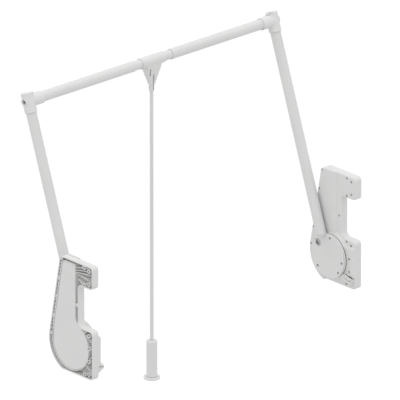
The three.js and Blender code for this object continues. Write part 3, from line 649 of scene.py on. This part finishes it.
def tower_ring(turn):
    """The raised tower's outline part of the way up its rounded front edge and its smaller back and top
    edges."""
    level = PLATE_LEVEL - 1 + (TOWER_LEVEL - PLATE_LEVEL + 1) * math.sin(turn)
    front = TOWER_EDGE_START + (TOWER_EDGE_END - TOWER_EDGE_START) * math.cos(turn)
    drop = max(TOWER_BACK_EDGE - (TOWER_LEVEL - level), 0)
    inset = FLUSH + TOWER_BACK_EDGE - math.sqrt(max(TOWER_BACK_EDGE * TOWER_BACK_EDGE - drop * drop, 0))
    radius, bottom, top = BODY_RADIUS - inset, BODY_BOTTOM + inset, BODY_TOP - inset
    corner = EAR_CORNER - inset
    outline = rounded([
        (front, 0, 0),
        (front, top, min(corner, 3)),
        (back_edge(radius, top), top, corner),
        *arc(radius, BACK_NORMAL, math.pi + math.asin(-bottom / radius), BACK_ARC_STEPS),
        (LOWER_BACK_END, bottom, 1.5),
        (LOWER_BACK_END, 0, 0),
    ])
    return [(p.x, p.y, level) for p in outline]


def smooth_step(t):
    """A share from 0 to 1 that starts and ends gently."""
    return t * t * (3 - 2 * t)


def pivot_pad():
    """The low conical pad round the swing axis."""
    steps = 12
    slope = []
    for i in range(steps + 1):
        t = i / steps
        radius = PIVOT_PAD_BASE + 1 - (PIVOT_PAD_BASE + 2 - PIVOT_PAD_TOP) * t
        slope.append((radius, PLATE_LEVEL + (PIVOT_PAD_LEVEL - PLATE_LEVEL) * smooth_step(t), 0))
    base = PLATE_LEVEL - 1
    return turned([(0, base, 0), (PIVOT_PAD_BASE + 1, base, 0), *slope, (0, PIVOT_PAD_LEVEL, 0)], sides=FINE)


def ear_pad():
    """The raised pad on the lower ear, with soft slopes at its top and bottom."""
    inner_edge, corner = 40, 2.2
    stations = []
    steps = 12
    for i in range(steps + 1):
        t = i / steps
        half = PAD_HALF_HEIGHT + PAD_SLOPE * (1 - t)
        stations.append((half, PLATE_LEVEL + (PAD_LEVEL - PLATE_LEVEL) * smooth_step(t)))
    rings = []
    for half, level in [(stations[0][0], PLATE_LEVEL - 4)] + stations:
        drop = max(corner - (PAD_LEVEL - level), 0)
        front = EAR_FRONT - FLUSH - corner + math.sqrt(max(corner * corner - drop * drop, 0))
        ring = [(inner_edge, -half), (front, -half), (front, half), (inner_edge, half)]
        rings.append([(x, y, level) for x, y in ring])
    return loft(rings)


def stop_bar(start, end, low, high, base, top, edge):
    """A bar under the lowered arm, standing on the ear."""
    def outline(inset):
        return rounded([
            (start + inset, low + inset, 0.8),
            (end - inset, low + inset, 2.4 - inset),
            (end - inset, high - inset, 1.6 - inset),
            (start + inset, high - inset, 0.8),
        ])
    return moved(prism(outline, edge_stations(base, top, edge)), Matrix.Rotation(ARM_LOW, 4, "Z"))


def stop_buttress():
    """The ridge that slopes from under the stop lug down to the ear."""
    steps = 10
    head, foot = LUG_TOP - LUG_THICKNESS + 1, LUG_TOP - BUTTRESS_REACH
    slope = [(head + (foot - head) * i / steps,
              PLATE_LEVEL + (BUTTRESS_LEVEL - PLATE_LEVEL) * (1 - i / steps)) for i in range(steps + 1)]
    section = [(head, PLATE_LEVEL - 2), *slope, (foot, PLATE_LEVEL - 2)]
    rings = [[(x, y, level) for y, level in section] for x in (STOP_START + 1, STOP_END - 1)]
    return moved(loft(rings), Matrix.Rotation(ARM_LOW, 4, "Z"))


def through_hole(place, radius, start, face, chamfer):
    """A cutting tool for a hole with a chamfered mouth at the inner face."""
    mouth = radius + chamfer + PAST
    return turned([(0, start, 0), (radius, start, 0), (radius, face - chamfer, 0), (mouth, face + PAST, 0),
                   (0, face + PAST, 0)], place)


def rib(start, end):
    """A thin rib inside the housing, from the plate nearly to the wall."""
    ahead = Vector((end[0] - start[0], end[1] - start[1]))
    turn = Matrix.Translation((*start, 0)) @ Matrix.Rotation(math.atan2(ahead.y, ahead.x), 4, "Z")
    return moved(box((0, -RIB_THICKNESS / 2, RIB_START),
                     (ahead.length, RIB_THICKNESS / 2, PLATE_LEVEL - 1)), turn)


MOUNT_PLACES = [(SYSTEM_LINE, y) for y in SYSTEM_HOLES] + [(INNER_LINE, y) for y in INNER_HOLES]
POST_PLACES = [(back_edge(CHAMBER_BACK + POST_INSET, y), y) for y in BACK_POSTS] + [FRONT_POST]
EAR_RIBS = (  # the start and end of each: five in the upper ear, where four fan out, and four in the lower
    ((16, 196), (66, 207)),
    ((16, 190), (66, 200)),
    ((16, 185), (64, 190)),
    ((16, 183), (60, 177)),
    ((26, 170), (48, 158)),
    ((46, 40), (74, 24)),
    ((58, 8), (74, 8)),
    ((58, -24), (74, -8)),
    ((50, -36), (74, -56)),
)
BACK_RIB_HEIGHTS = [BACK_RIB_BOTTOM + BACK_RIB_PITCH * i for i in range(BACK_RIB_COUNT)]
BACK_RIBS = tuple(((back_edge(BODY_RADIUS - 1, y), y), (back_edge(CHAMBER_BACK - 1, y), y))
                  for y in BACK_RIB_HEIGHTS)


def face_level(place):
    """Level of the inner face at a mounting hole."""
    on_pad = place[0] == SYSTEM_LINE and abs(place[1]) < PAD_HALF_HEIGHT
    return PAD_LEVEL if on_pad else PLATE_LEVEL


def housing_solid():
    """The housing's outside, before anything is hollowed out."""
    plate = prism(body_outline, edge_stations(0, PLATE_LEVEL, FACE_EDGE, WALL_EDGE))
    tower = loft([tower_ring(turn) for turn in quarter_turn(16)])
    silhouette = prism(lambda inset: body_outline(FLUSH), [(0, 10), (0, CLEAR)])
    raised = common(join(tower, pivot_pad(), ear_pad()), silhouette)  # nothing overhangs the outline
    lug = stop_bar(STOP_START, STOP_END, LUG_TOP - LUG_THICKNESS, LUG_TOP, PLATE_LEVEL - 2,
                   STOP_TOP_LEVEL, 1.0)
    solid = join(plate, raised, lug, stop_buttress())
    return cut(solid, bar(PIVOT_RECESS_RADIUS, TOWER_LEVEL, CLEAR, sides=ROUND))


def ear_hollow():
    """The space behind the ears and the back edge, round the chamber, bosses, posts and ribs that stay."""
    hollow = prism(body_outline, [(SKIN, -PAST), (SKIN, PLATE_LEVEL - SKIN)])
    kept = [prism(chamber_outline, [(0, -2), (0, CLEAR)])]
    kept += [bar(MOUNT_BOSS_RADIUS, -2, CLEAR, place) for place in MOUNT_PLACES]
    kept += [bar(POST_RADIUS, POST_START, CLEAR, place) for place in POST_PLACES]
    kept += [rib(start, end) for start, end in EAR_RIBS + BACK_RIBS]
    return cut(hollow, *kept)


def chamber_space():
    """The spring's space, kept within the housing's skin."""
    space = prism(chamber_outline, [(CHAMBER_WALL, -PAST), (CHAMBER_WALL, PLATE_LEVEL - CHAMBER_WALL)])
    return common(space, prism(body_outline, [(SKIN, -2), (SKIN, CLEAR)]))


def tower_pocket():
    """The deeper part of the chamber, under the tower and round the crank."""
    outline = [(-1, 0, 0), (-1, 190, 4), (-24, 190, 4), (-48, 60, 0), (-48, 0, 0)]
    start, end = 10, TOWER_LEVEL - SKIN
    return join(prism(lambda inset: rounded(outline), [(0, start), (0, end)]),
                bar(CRANK_SPACE_RADIUS, start, end, sides=ROUND))


def housing_shell():
    """The moulded casing, with its chamber, bosses and screw holes."""
    shell = cut(housing_solid(), ear_hollow())
    shell = cut(shell, chamber_space(), tower_pocket())
    shell = join(shell, bar(BUSH_BOSS_RADIUS, BUSH_BOSS_START, TOWER_LEVEL - 1),
                 bar(ANCHOR_BOSS_RADIUS, PLATE_LEVEL, TOWER_LEVEL - 1, ANCHOR))
    shell = cut(shell, bar(BUSH_BORE_RADIUS, -PAST, CLEAR),
                bar(ANCHOR_BORE_RADIUS, -PAST, TOWER_LEVEL - 2, ANCHOR))

    holes = [through_hole(place, MOUNT_HOLE_RADIUS, -PAST, face_level(place), HOLE_CHAMFER)
             for place in MOUNT_PLACES]
    holes += [through_hole(place, POST_HOLE_RADIUS, POST_HOLE_START, TOWER_LEVEL, HOLE_CHAMFER)
              for place in POST_PLACES[:-1]]
    holes.append(through_hole(FRONT_POST, POST_HOLE_RADIUS, POST_HOLE_START, PLATE_LEVEL, HOLE_CHAMFER))
    holes.append(turned([(0, MARK_FLOOR, 0), (1.2, MARK_FLOOR, 0.4), (1.6, CLEAR, 0), (0, CLEAR, 0)], MARK))
    return cut(shell, *holes)


pair("housing_shell", housing_shell(), wall_matrix)
pair("chamber_cover", common(
    prism(chamber_outline, [(CHAMBER_WALL + GAP + inset, level)
                            for inset, level in edge_stations(COVER_START, COVER_END, 0.1, 0.6)]),
    prism(body_outline, [(SKIN + GAP, -1), (SKIN + GAP, PLATE_LEVEL)]),
), wall_matrix)
pair("stop_bumper", stop_bar(STOP_START + 1, STOP_END - 1, LUG_TOP + GAP, BUMPER_TOP, BUMPER_START,
                             STOP_TOP_LEVEL - GAP, 0.5), wall_matrix)


# ---- main spring ----
def main_spring():
    """A tension spring: close coils, and a hook round each pin."""
    wire, coil_radius, eye = 1.1, 5.3, 4.6
    hook_length, turns, steps = 17, 38, 16
    x0, y0 = CRANK_PIN
    x1, y1 = ANCHOR
    length = math.hypot(x1 - x0, y1 - y0)
    first, last = hook_length, length - hook_length

    def hook(centre, start, end):
        """Part of a circle round a pin, between two angles in degrees."""
        start, end = math.radians(start), math.radians(end)
        angles = [start + (end - start) * k / 20 for k in range(21)]
        return [Vector((eye * math.cos(a), centre + eye * math.sin(a), 0)) for a in angles]

    path = hook(0, -240, 75)
    for k in range(turns * steps + 1):
        angle = 2 * math.pi * k / steps
        along = first + (last - first) * k / (turns * steps)
        rise = coil_radius * (1 - math.cos(angle)) - coil_radius
        path.append(Vector((coil_radius * math.sin(angle), along, rise)))
    path += hook(length, -75, 240)
    spring = sweep(path, wire)
    turn = Matrix.Rotation(-math.atan2(x1 - x0, y1 - y0), 4, "Z")
    return moved(spring, Matrix.Translation((x0, y0, SPRING_LEVEL)) @ turn)


pair("main_spring", main_spring(), wall_matrix)


# ---- hub, cap and screws ----
def unlean(x, y):
    """A place given for the resting arm, in the frame of the upright arm."""
    point = Matrix.Rotation(-ARM_LEAN, 2) @ Vector((x, y))
    return point.x, point.y


def on_cap_circle(degrees):
    """A place on the circle of the cap screws, given for the resting arm."""
    angle = math.radians(degrees)
    return unlean(CAP_SCREW_CIRCLE * math.cos(angle), CAP_SCREW_CIRCLE * math.sin(angle))


CAP_SCREWS = [on_cap_circle(angle) for angle in CAP_SCREW_ANGLES]
TENSION_PLACE = unlean(*TENSION_SCREW)


def upright(solid, level=ARM_LEVEL):
    """Stands a solid drawn along the level axis up along the arm, at a level."""
    return moved(solid, Matrix.Translation((0, 0, level)) @ UPRIGHT)


def arm_hub():
    """The disc behind the cap, with the arm's collar and the spigot inside the arm tube."""
    disc = bar(HUB_RADIUS, HUB_START, HUB_FACE, sides=FINE, edge=0.8)
    collar = upright(turned([(0, COLLAR_FOOT, 0), (COLLAR_RADIUS, COLLAR_FOOT, 1.2),
                             (COLLAR_RADIUS, HUB_RADIUS, 0.9), (0, HUB_RADIUS, 0)], sides=ROUND))
    spigot = upright(bar(SPIGOT_RADIUS, HUB_RADIUS - 1, HUB_RADIUS + SPIGOT_LENGTH, sides=ROUND, edge=0.6))
    collar = cut(join(collar, spigot), box((-60, 0, 0), (60, 60, COLLAR_BACK)))
    hub = cut(join(disc, collar), bar(AXLE_BORE_RADIUS, PLATE_LEVEL, HUB_FACE + PAST))
    hub = cut(hub, *[bar(CAP_SCREW_BORE, PLATE_LEVEL, CAP_SCREW_SEAT + PAST, place) for place in CAP_SCREWS])
    hub = cut(hub, *[bar(CAP_SCREW_MOUTH, CAP_SCREW_SEAT, HUB_FACE + PAST, place) for place in CAP_SCREWS])
    return cut(hub, bar(TENSION_MOUTH, TENSION_SEAT, HUB_FACE + 2, TENSION_PLACE),
               bar(TENSION_BORE, PLATE_LEVEL, HUB_FACE, TENSION_PLACE))


def hub_cap():
    """The flat round cover, with a bevelled rim and openings for the screws."""
    cap = turned([(0, CAP_START, 0), (HUB_RADIUS - 0.4, CAP_START, 0.2), (HUB_RADIUS, CAP_START + 0.5, 0),
                  (HUB_RADIUS, CAP_END - 0.9, 0.3), (HUB_RADIUS - 1.1, CAP_END, 0.3), (0, CAP_END, 0)],
                 sides=FINE)
    notch = upright(turned([(0, COLLAR_FOOT - GAP, 0), (COLLAR_RADIUS + GAP, COLLAR_FOOT - GAP, 0.5),
                            (COLLAR_RADIUS + GAP, HUB_RADIUS + 5, 0), (0, HUB_RADIUS + 5, 0)], sides=ROUND))
    cap = cut(cap, notch)
    cap = cut(cap, *[through_hole(place, CAP_SCREW_MOUTH, CAP_START - PAST, CAP_END, 0.5)
                     for place in CAP_SCREWS])
    return cut(cap, through_hole(TENSION_PLACE, TENSION_MOUTH, CAP_START - PAST, CAP_END, 0.6))


def tension_screw():
    """The large screw in the cap, with a bevelled hexagon socket."""
    low, head, top = HUB_START + 1, TENSION_SEAT + GAP, CAP_END + 1
    screw = turned([(0, low, 0), (TENSION_SHANK_RADIUS, low, 0.5), (TENSION_SHANK_RADIUS, head, 0),
                    (TENSION_HEAD_RADIUS, head, 0.3), (TENSION_HEAD_RADIUS, top, 0.9), (0, top, 0)],
                   TENSION_PLACE, ROUND)
    bevel = turned([(0, top - 0.8, 0), (6, top - 0.8, 0), (7.6, top + 0.8, 0), (0, top + 0.8, 0)],
                   TENSION_PLACE, ROUND)
    return cut(screw, hexagon(TENSION_SOCKET_RADIUS, TENSION_SEAT + 1.5, top + PAST, TENSION_PLACE), bevel)


def cap_screw(place):
    """A small socket screw, sunk below the cap's face."""
    low, head, top = HUB_START, CAP_SCREW_SEAT + GAP, CAP_SCREW_SEAT + 1.8
    shank_radius, head_radius, socket_radius = CAP_SCREW_BORE - GAP, CAP_SCREW_MOUTH - GAP, 1.45
    screw = turned([(0, low, 0), (shank_radius, low, 0.3), (shank_radius, head, 0), (head_radius, head, 0.2),
                    (head_radius, top, 0.4), (0, top, 0)], place)
    return cut(screw, hexagon(socket_radius, CAP_SCREW_SEAT + 1, top + PAST, place))


pair("arm_hub", arm_hub(), arm_matrix)
pair("hub_cap", hub_cap(), arm_matrix)
pair("tension_screw", tension_screw(), arm_matrix)
for number, place in enumerate(CAP_SCREWS, 1):
    pair(f"cap_screw_{number}", cap_screw(place), arm_matrix)


# ---- tubes and elbows ----
def tube(radius, wall, start, end):
    """An open tube with slightly broken ends."""
    inner = radius - wall
    outline = rounded([(inner, start, 0.2), (radius, start, 0.4), (radius, end, 0.4), (inner, end, 0.2)], 3)
    points, faces = [], []
    for p in outline:
        for k in range(ROUND):
            angle = 2 * math.pi * k / ROUND
            points.append((p.x * math.cos(angle), p.x * math.sin(angle), p.y))
    count = len(outline)
    for i in range(count):
        n = (i + 1) % count
        for k in range(ROUND):
            m = (k + 1) % ROUND
            faces.append((i * ROUND + k, i * ROUND + m, n * ROUND + m, n * ROUND + k))
    return scratch(points, faces)


RAIL_PLACE = (0, ARM_LENGTH)


def elbow():
    """The moulded joint of arm and rail: a standing barrel, the rail's socket and a boss for the screw."""
    start, top = ARM_LENGTH - ELBOW_BELOW, ARM_LENGTH + ELBOW_ABOVE
    standing = upright(turned([(0, start, 0), (ELBOW_RADIUS, start, 0.7), (ELBOW_RADIUS, top, 1.6),
                               (0, top, 0)], sides=ROUND))
    spigot = upright(bar(SPIGOT_RADIUS, start - SPIGOT_LENGTH, start + 1, sides=ROUND, edge=0.6))
    socket = turned([(0, ARM_LEVEL, 0), (SOCKET_RADIUS, ARM_LEVEL, 2), (SOCKET_RADIUS, SOCKET_END, 1.0),
                     (0, SOCKET_END, 0)], RAIL_PLACE, ROUND)
    boss = turned([(0, SCREW_BOSS_START, 0), (SCREW_BOSS_RADIUS, SCREW_BOSS_START, 0.5),
                   (SCREW_BOSS_RADIUS, ARM_LEVEL, 0), (0, ARM_LEVEL, 0)], RAIL_PLACE, ROUND)
    step = box((-16, ARM_LENGTH + ELBOW_STEP_HEIGHT, ELBOW_STEP_LEVEL), (16, top + PAST, SOCKET_END + PAST))
    body = cut(join(standing, socket, boss, spigot), step)

    bore, seat = SCREW_HEAD_RADIUS + GAP, SCREW_HEAD_END + GAP
    rail_bore = bar(TUBE_RADIUS + GAP, SOCKET_FLOOR, SOCKET_END + PAST, RAIL_PLACE, ROUND)
    mouth = SCREW_BOSS_START - PAST
    head_bore = turned([(0, mouth, 0), (SCREW_MOUTH_RADIUS, mouth, 0), (bore, SCREW_MOUTH_END, 0),
                        (bore, seat, 0), (0, seat, 0)], RAIL_PLACE, ROUND)
    screw_bore = bar(SCREW_SHANK_RADIUS + GAP, SCREW_HEAD_END - PAST, SOCKET_FLOOR + PAST, RAIL_PLACE)
    grub_bore = bar(GRUB_RADIUS + GAP, ARM_LENGTH + TUBE_RADIUS, ARM_LENGTH + SOCKET_RADIUS + PAST)
    return cut(body, rail_bore, head_bore, screw_bore, upright(grub_bore, GRUB_LEVEL))


def elbow_screw():
    """The socket screw that runs through the elbow into the rail's plug."""
    screw = turned([(0, SCREW_HEAD_START, 0), (SCREW_HEAD_RADIUS, SCREW_HEAD_START, 0.6),
                    (SCREW_HEAD_RADIUS, SCREW_HEAD_END, 0.2), (SCREW_SHANK_RADIUS, SCREW_HEAD_END, 0),
                    (SCREW_SHANK_RADIUS, SCREW_END, 0.4), (0, SCREW_END, 0)], RAIL_PLACE, ROUND)
    return cut(screw, hexagon(SCREW_SOCKET_RADIUS, SCREW_HEAD_START - PAST, SCREW_SOCKET_END, RAIL_PLACE))


def elbow_grub_screw():
    """The small slotted screw on top of the rail socket."""
    low, head = ARM_LENGTH + TUBE_RADIUS + 2 * GAP, ARM_LENGTH + ELBOW_STEP_HEIGHT + GAP
    top = head + GRUB_HEAD_HEIGHT
    screw = turned([(0, low, 0), (GRUB_RADIUS, low, 0.2), (GRUB_RADIUS, head, 0),
                    (GRUB_HEAD_RADIUS, head, 0.4), (GRUB_HEAD_RADIUS, top, 0.7), (0, top, 0)])
    return upright(cut(screw, box((-6, -0.5, top - 1), (6, 0.5, top + PAST))), GRUB_LEVEL)


TUBE_FOOT = HUB_RADIUS + GAP
pair("arm_tube", upright(tube(TUBE_RADIUS, TUBE_WALL, TUBE_FOOT, ARM_LENGTH - ELBOW_BELOW - GAP)), arm_matrix)
pair("elbow", elbow(), arm_matrix)
pair("elbow_screw", elbow_screw(), arm_matrix)
pair("elbow_grub_screw", elbow_grub_screw(), arm_matrix)
pair("rail_outer_tube", moved(
    tube(TUBE_RADIUS, TUBE_RADIUS - CENTRE_TUBE_RADIUS - GAP, OUTER_TUBE_START, OUTER_TUBE_END),
    Matrix.Translation((0, ARM_LENGTH, 0))), arm_matrix)

# ---- middle of the rail, bracket, rod and handle ----
ALONG_RAIL = Matrix.Rotation(math.pi / 2, 4, "Y")  # lays a solid drawn along the level axis along the rail
AT_ROD_PIN = Matrix.Translation((0, 0, ROD_PIN_Z)) @ ALONG_RAIL


def pull_bracket():
    """Sleeve on the rail, a tapering web and the slotted socket that holds the rod."""
    sleeve = moved(bar(SLEEVE_RADIUS, -SLEEVE_HALF, SLEEVE_HALF, sides=ROUND, edge=0.8), ALONG_RAIL)

    def web_ring(t):
        """The web's rounded section at a share of the way down it."""
        x, y = (a + (b - a) * t for a, b in zip(WEB_TOP_HALF, WEB_BOTTOM_HALF))
        height = WEB_TOP + (WEB_BOTTOM - WEB_TOP) * t
        ring = rounded([(-x, -y, 1.5), (x, -y, 1.5), (x, y, 1.5), (-x, y, 1.5)], 4)
        return [(p.x, p.y, height) for p in ring]

    web = loft([web_ring(i / 8) for i in range(9)])
    bottom, front = ROD_SOCKET_BOTTOM - 5, 14  # the slots' tools run out of the socket here
    side_slot = box((SIDE_SLOT - 2, -front, SIDE_SLOT_BOTTOM), (SIDE_SLOT + 2, -4, SIDE_SLOT_TOP))
    socket = turned([(0, ROD_SOCKET_BOTTOM, 0), (ROD_SOCKET_RADIUS, ROD_SOCKET_BOTTOM, 0.8),
                     (ROD_SOCKET_RADIUS, ROD_SOCKET_TOP, 4), (0, ROD_SOCKET_TOP, 0)], sides=ROUND)
    slot_outline = [(-SLOT_HALF, bottom, 0), (SLOT_HALF, bottom, 0), (SLOT_HALF, SLOT_TOP, SLOT_HALF),
                    (-SLOT_HALF, SLOT_TOP, SLOT_HALF)]
    slot = prism(lambda inset: rounded(slot_outline), [(0, 0), (0, front)])
    slot = moved(slot, Matrix.Rotation(math.pi / 2, 4, "X"))
    bore_half = SLEEVE_HALF + 4
    rail_bore = moved(bar(CENTRE_TUBE_RADIUS + GAP, -bore_half, bore_half, sides=ROUND), ALONG_RAIL)
    rod_bore = bar(ROD_RADIUS + GAP, ROD_SOCKET_BOTTOM - PAST, ROD_TOP + GAP)
    pin_hole = moved(bar(PIN_HOLE_RADIUS, -12, 12), AT_ROD_PIN)
    return cut(join(sleeve, web, socket), rail_bore, rod_bore, slot, side_slot, pin_hole)


def rod_pin():
    """The pin that holds the rod in its socket."""
    return moved(bar(ROD_PIN_RADIUS, -ROD_PIN_HALF, ROD_PIN_HALF, edge=0.3), AT_ROD_PIN)


def pull_rod():
    """The thin rod, from its socket down into the grip."""
    bottom = below_rail(HANDLE_HIGH.z) - ROD_DEPTH + GAP
    return cut(bar(ROD_RADIUS, bottom, ROD_TOP, edge=0.6), moved(bar(PIN_HOLE_RADIUS, -9, 9), AT_ROD_PIN))


def below_rail(height):
    """A height in the row frame, in millimetres from the rail axis."""
    return (height - RAIL_CENTRE.z) / MM


def handle_grip():
    """The round grip, bored for the rod."""
    low, high = below_rail(HANDLE_LOW.z), below_rail(HANDLE_HIGH.z)
    radius = (HANDLE_HIGH.x - HANDLE_LOW.x) / 2 / MM
    grip = turned([(0, low, 0), (radius, low, 0.6), (radius, high, 2.4), (0, high, 0)], sides=ROUND)
    return cut(grip, bar(ROD_RADIUS + GAP, high - ROD_DEPTH, high + PAST))


def handle_base():
    """The flange at the foot of the grip."""
    low, high = below_rail(FLANGE_LOW.z), below_rail(FLANGE_HIGH.z)
    radius = (FLANGE_HIGH.x - FLANGE_LOW.x) / 2 / MM
    return turned([(0, low, 0), (radius, low, 2.6), (radius, high, 2.2), (0, high, 0)], sides=ROUND)


single("rail_centre_tube", moved(
    tube(CENTRE_TUBE_RADIUS, TUBE_WALL, -CENTRE_TUBE_HALF, CENTRE_TUBE_HALF), ALONG_RAIL))
single("pull_bracket", pull_bracket())
single("rod_pin", rod_pin())
single("pull_rod", pull_rod())
single("handle_grip", handle_grip())
single("handle_base", handle_base())

# ---- inner pieces that keep their CAD shape ----
INNER = ("bearing_bush", "thrust_washer", "spring_anchor_pin", "pivot_axle", "axle_circlip", "crank_arm",
         "crank_pin", "rail_plug")
for side, _ in SIDES:
    for name in INNER:
        node = frame["nodes"][f"{side}_{name}"]
        node.data.materials.clear()
        node.data.materials.append(MATERIALS[SLOT_OF[node.name]])


# ---- stage, lights and camera ----
def floor():
    """A pale floor below the hanging handle, hidden from diffuse light so it neither lights nor shades."""
    half, height = 20.0, FLANGE_LOW.z - 0.30
    corners = [(x, y, height) for x, y in ((-half, -half), (half, -half), (half, half), (-half, half))]
    mesh = bpy.data.meshes.new("floor")
    mesh.from_pydata(corners, [], [(0, 1, 2, 3)])
    obj = bpy.data.objects.new("floor", mesh)
    bpy.context.scene.collection.objects.link(obj)
    material, _, shader = new_material("floor", (0.97, 0.97, 0.97), 0.9)
    shader.inputs["Specular IOR Level"].default_value = 0.1
    mesh.materials.append(material)
    obj.visible_diffuse = False


def soft_light(name, direction, spread, strength):
    """Even light from far away, as wide across as the spread in degrees, so its shadows are soft."""
    lamp = bpy.data.lights.new(name, "SUN")
    lamp.angle = math.radians(spread)
    lamp.energy = strength
    obj = bpy.data.objects.new(name, lamp)
    obj.rotation_euler = Vector(direction).to_track_quat("Z", "Y").to_euler()
    bpy.context.scene.collection.objects.link(obj)


def world(overhead, below):
    """A white surround whose strength runs evenly from one straight below to one overhead."""
    surround = bpy.data.worlds.new("surround")
    bpy.context.scene.world = surround
    surround.use_nodes = True
    tree = surround.node_tree
    background = tree.nodes["Background"]
    background.inputs["Color"].default_value = (1, 1, 1, 1)
    coordinates = tree.nodes.new("ShaderNodeTexCoord")
    split = tree.nodes.new("ShaderNodeSeparateXYZ")
    ramp = tree.nodes.new("ShaderNodeMapRange")
    ramp.inputs["From Min"].default_value = -1
    ramp.inputs["From Max"].default_value = 1
    ramp.inputs["To Min"].default_value = below
    ramp.inputs["To Max"].default_value = overhead
    tree.links.new(coordinates.outputs["Generated"], split.inputs["Vector"])
    tree.links.new(split.outputs["Z"], ramp.inputs["Value"])
    tree.links.new(ramp.outputs["Result"], background.inputs["Strength"])


def camera():
    """The photograph's view, nearly parallel."""
    azimuth, elevation = math.radians(-42.5), math.radians(21.7)
    frame_width = 0.928
    across, height = -0.0130, 0.228  # the picture's centre from the swing axis, in the picture's plane
    lens, sensor = 1500.0, 36.0  # long, but a longer one puts the other views past their far clip
    back = Vector((math.sin(azimuth) * math.cos(elevation), -math.cos(azimuth) * math.cos(elevation),
                   math.sin(elevation)))
    right = Vector((0, 0, 1)).cross(back).normalized()
    up = back.cross(right)
    target = right * across + up * height
    data = bpy.data.cameras.new("camera")
    data.lens = lens
    data.sensor_width = sensor
    data.clip_end = 400
    obj = bpy.data.objects.new("camera", data)
    obj.location = target + back * (frame_width * lens / sensor)
    obj.rotation_euler = Matrix((right, up, back)).transposed().to_euler()
    bpy.context.scene.collection.objects.link(obj)
    bpy.context.scene.camera = obj


floor()
world(overhead=0.9, below=0.62)
soft_light("overhead", (0.05, 0.05, 1), 80, 0.6)
soft_light("left", (-1, -0.1, 0.1), 50, 0.16)
soft_light("front", (0.2, -1, 0.2), 50, 0.06)
bpy.context.scene.view_settings.view_transform = "Standard"
camera()
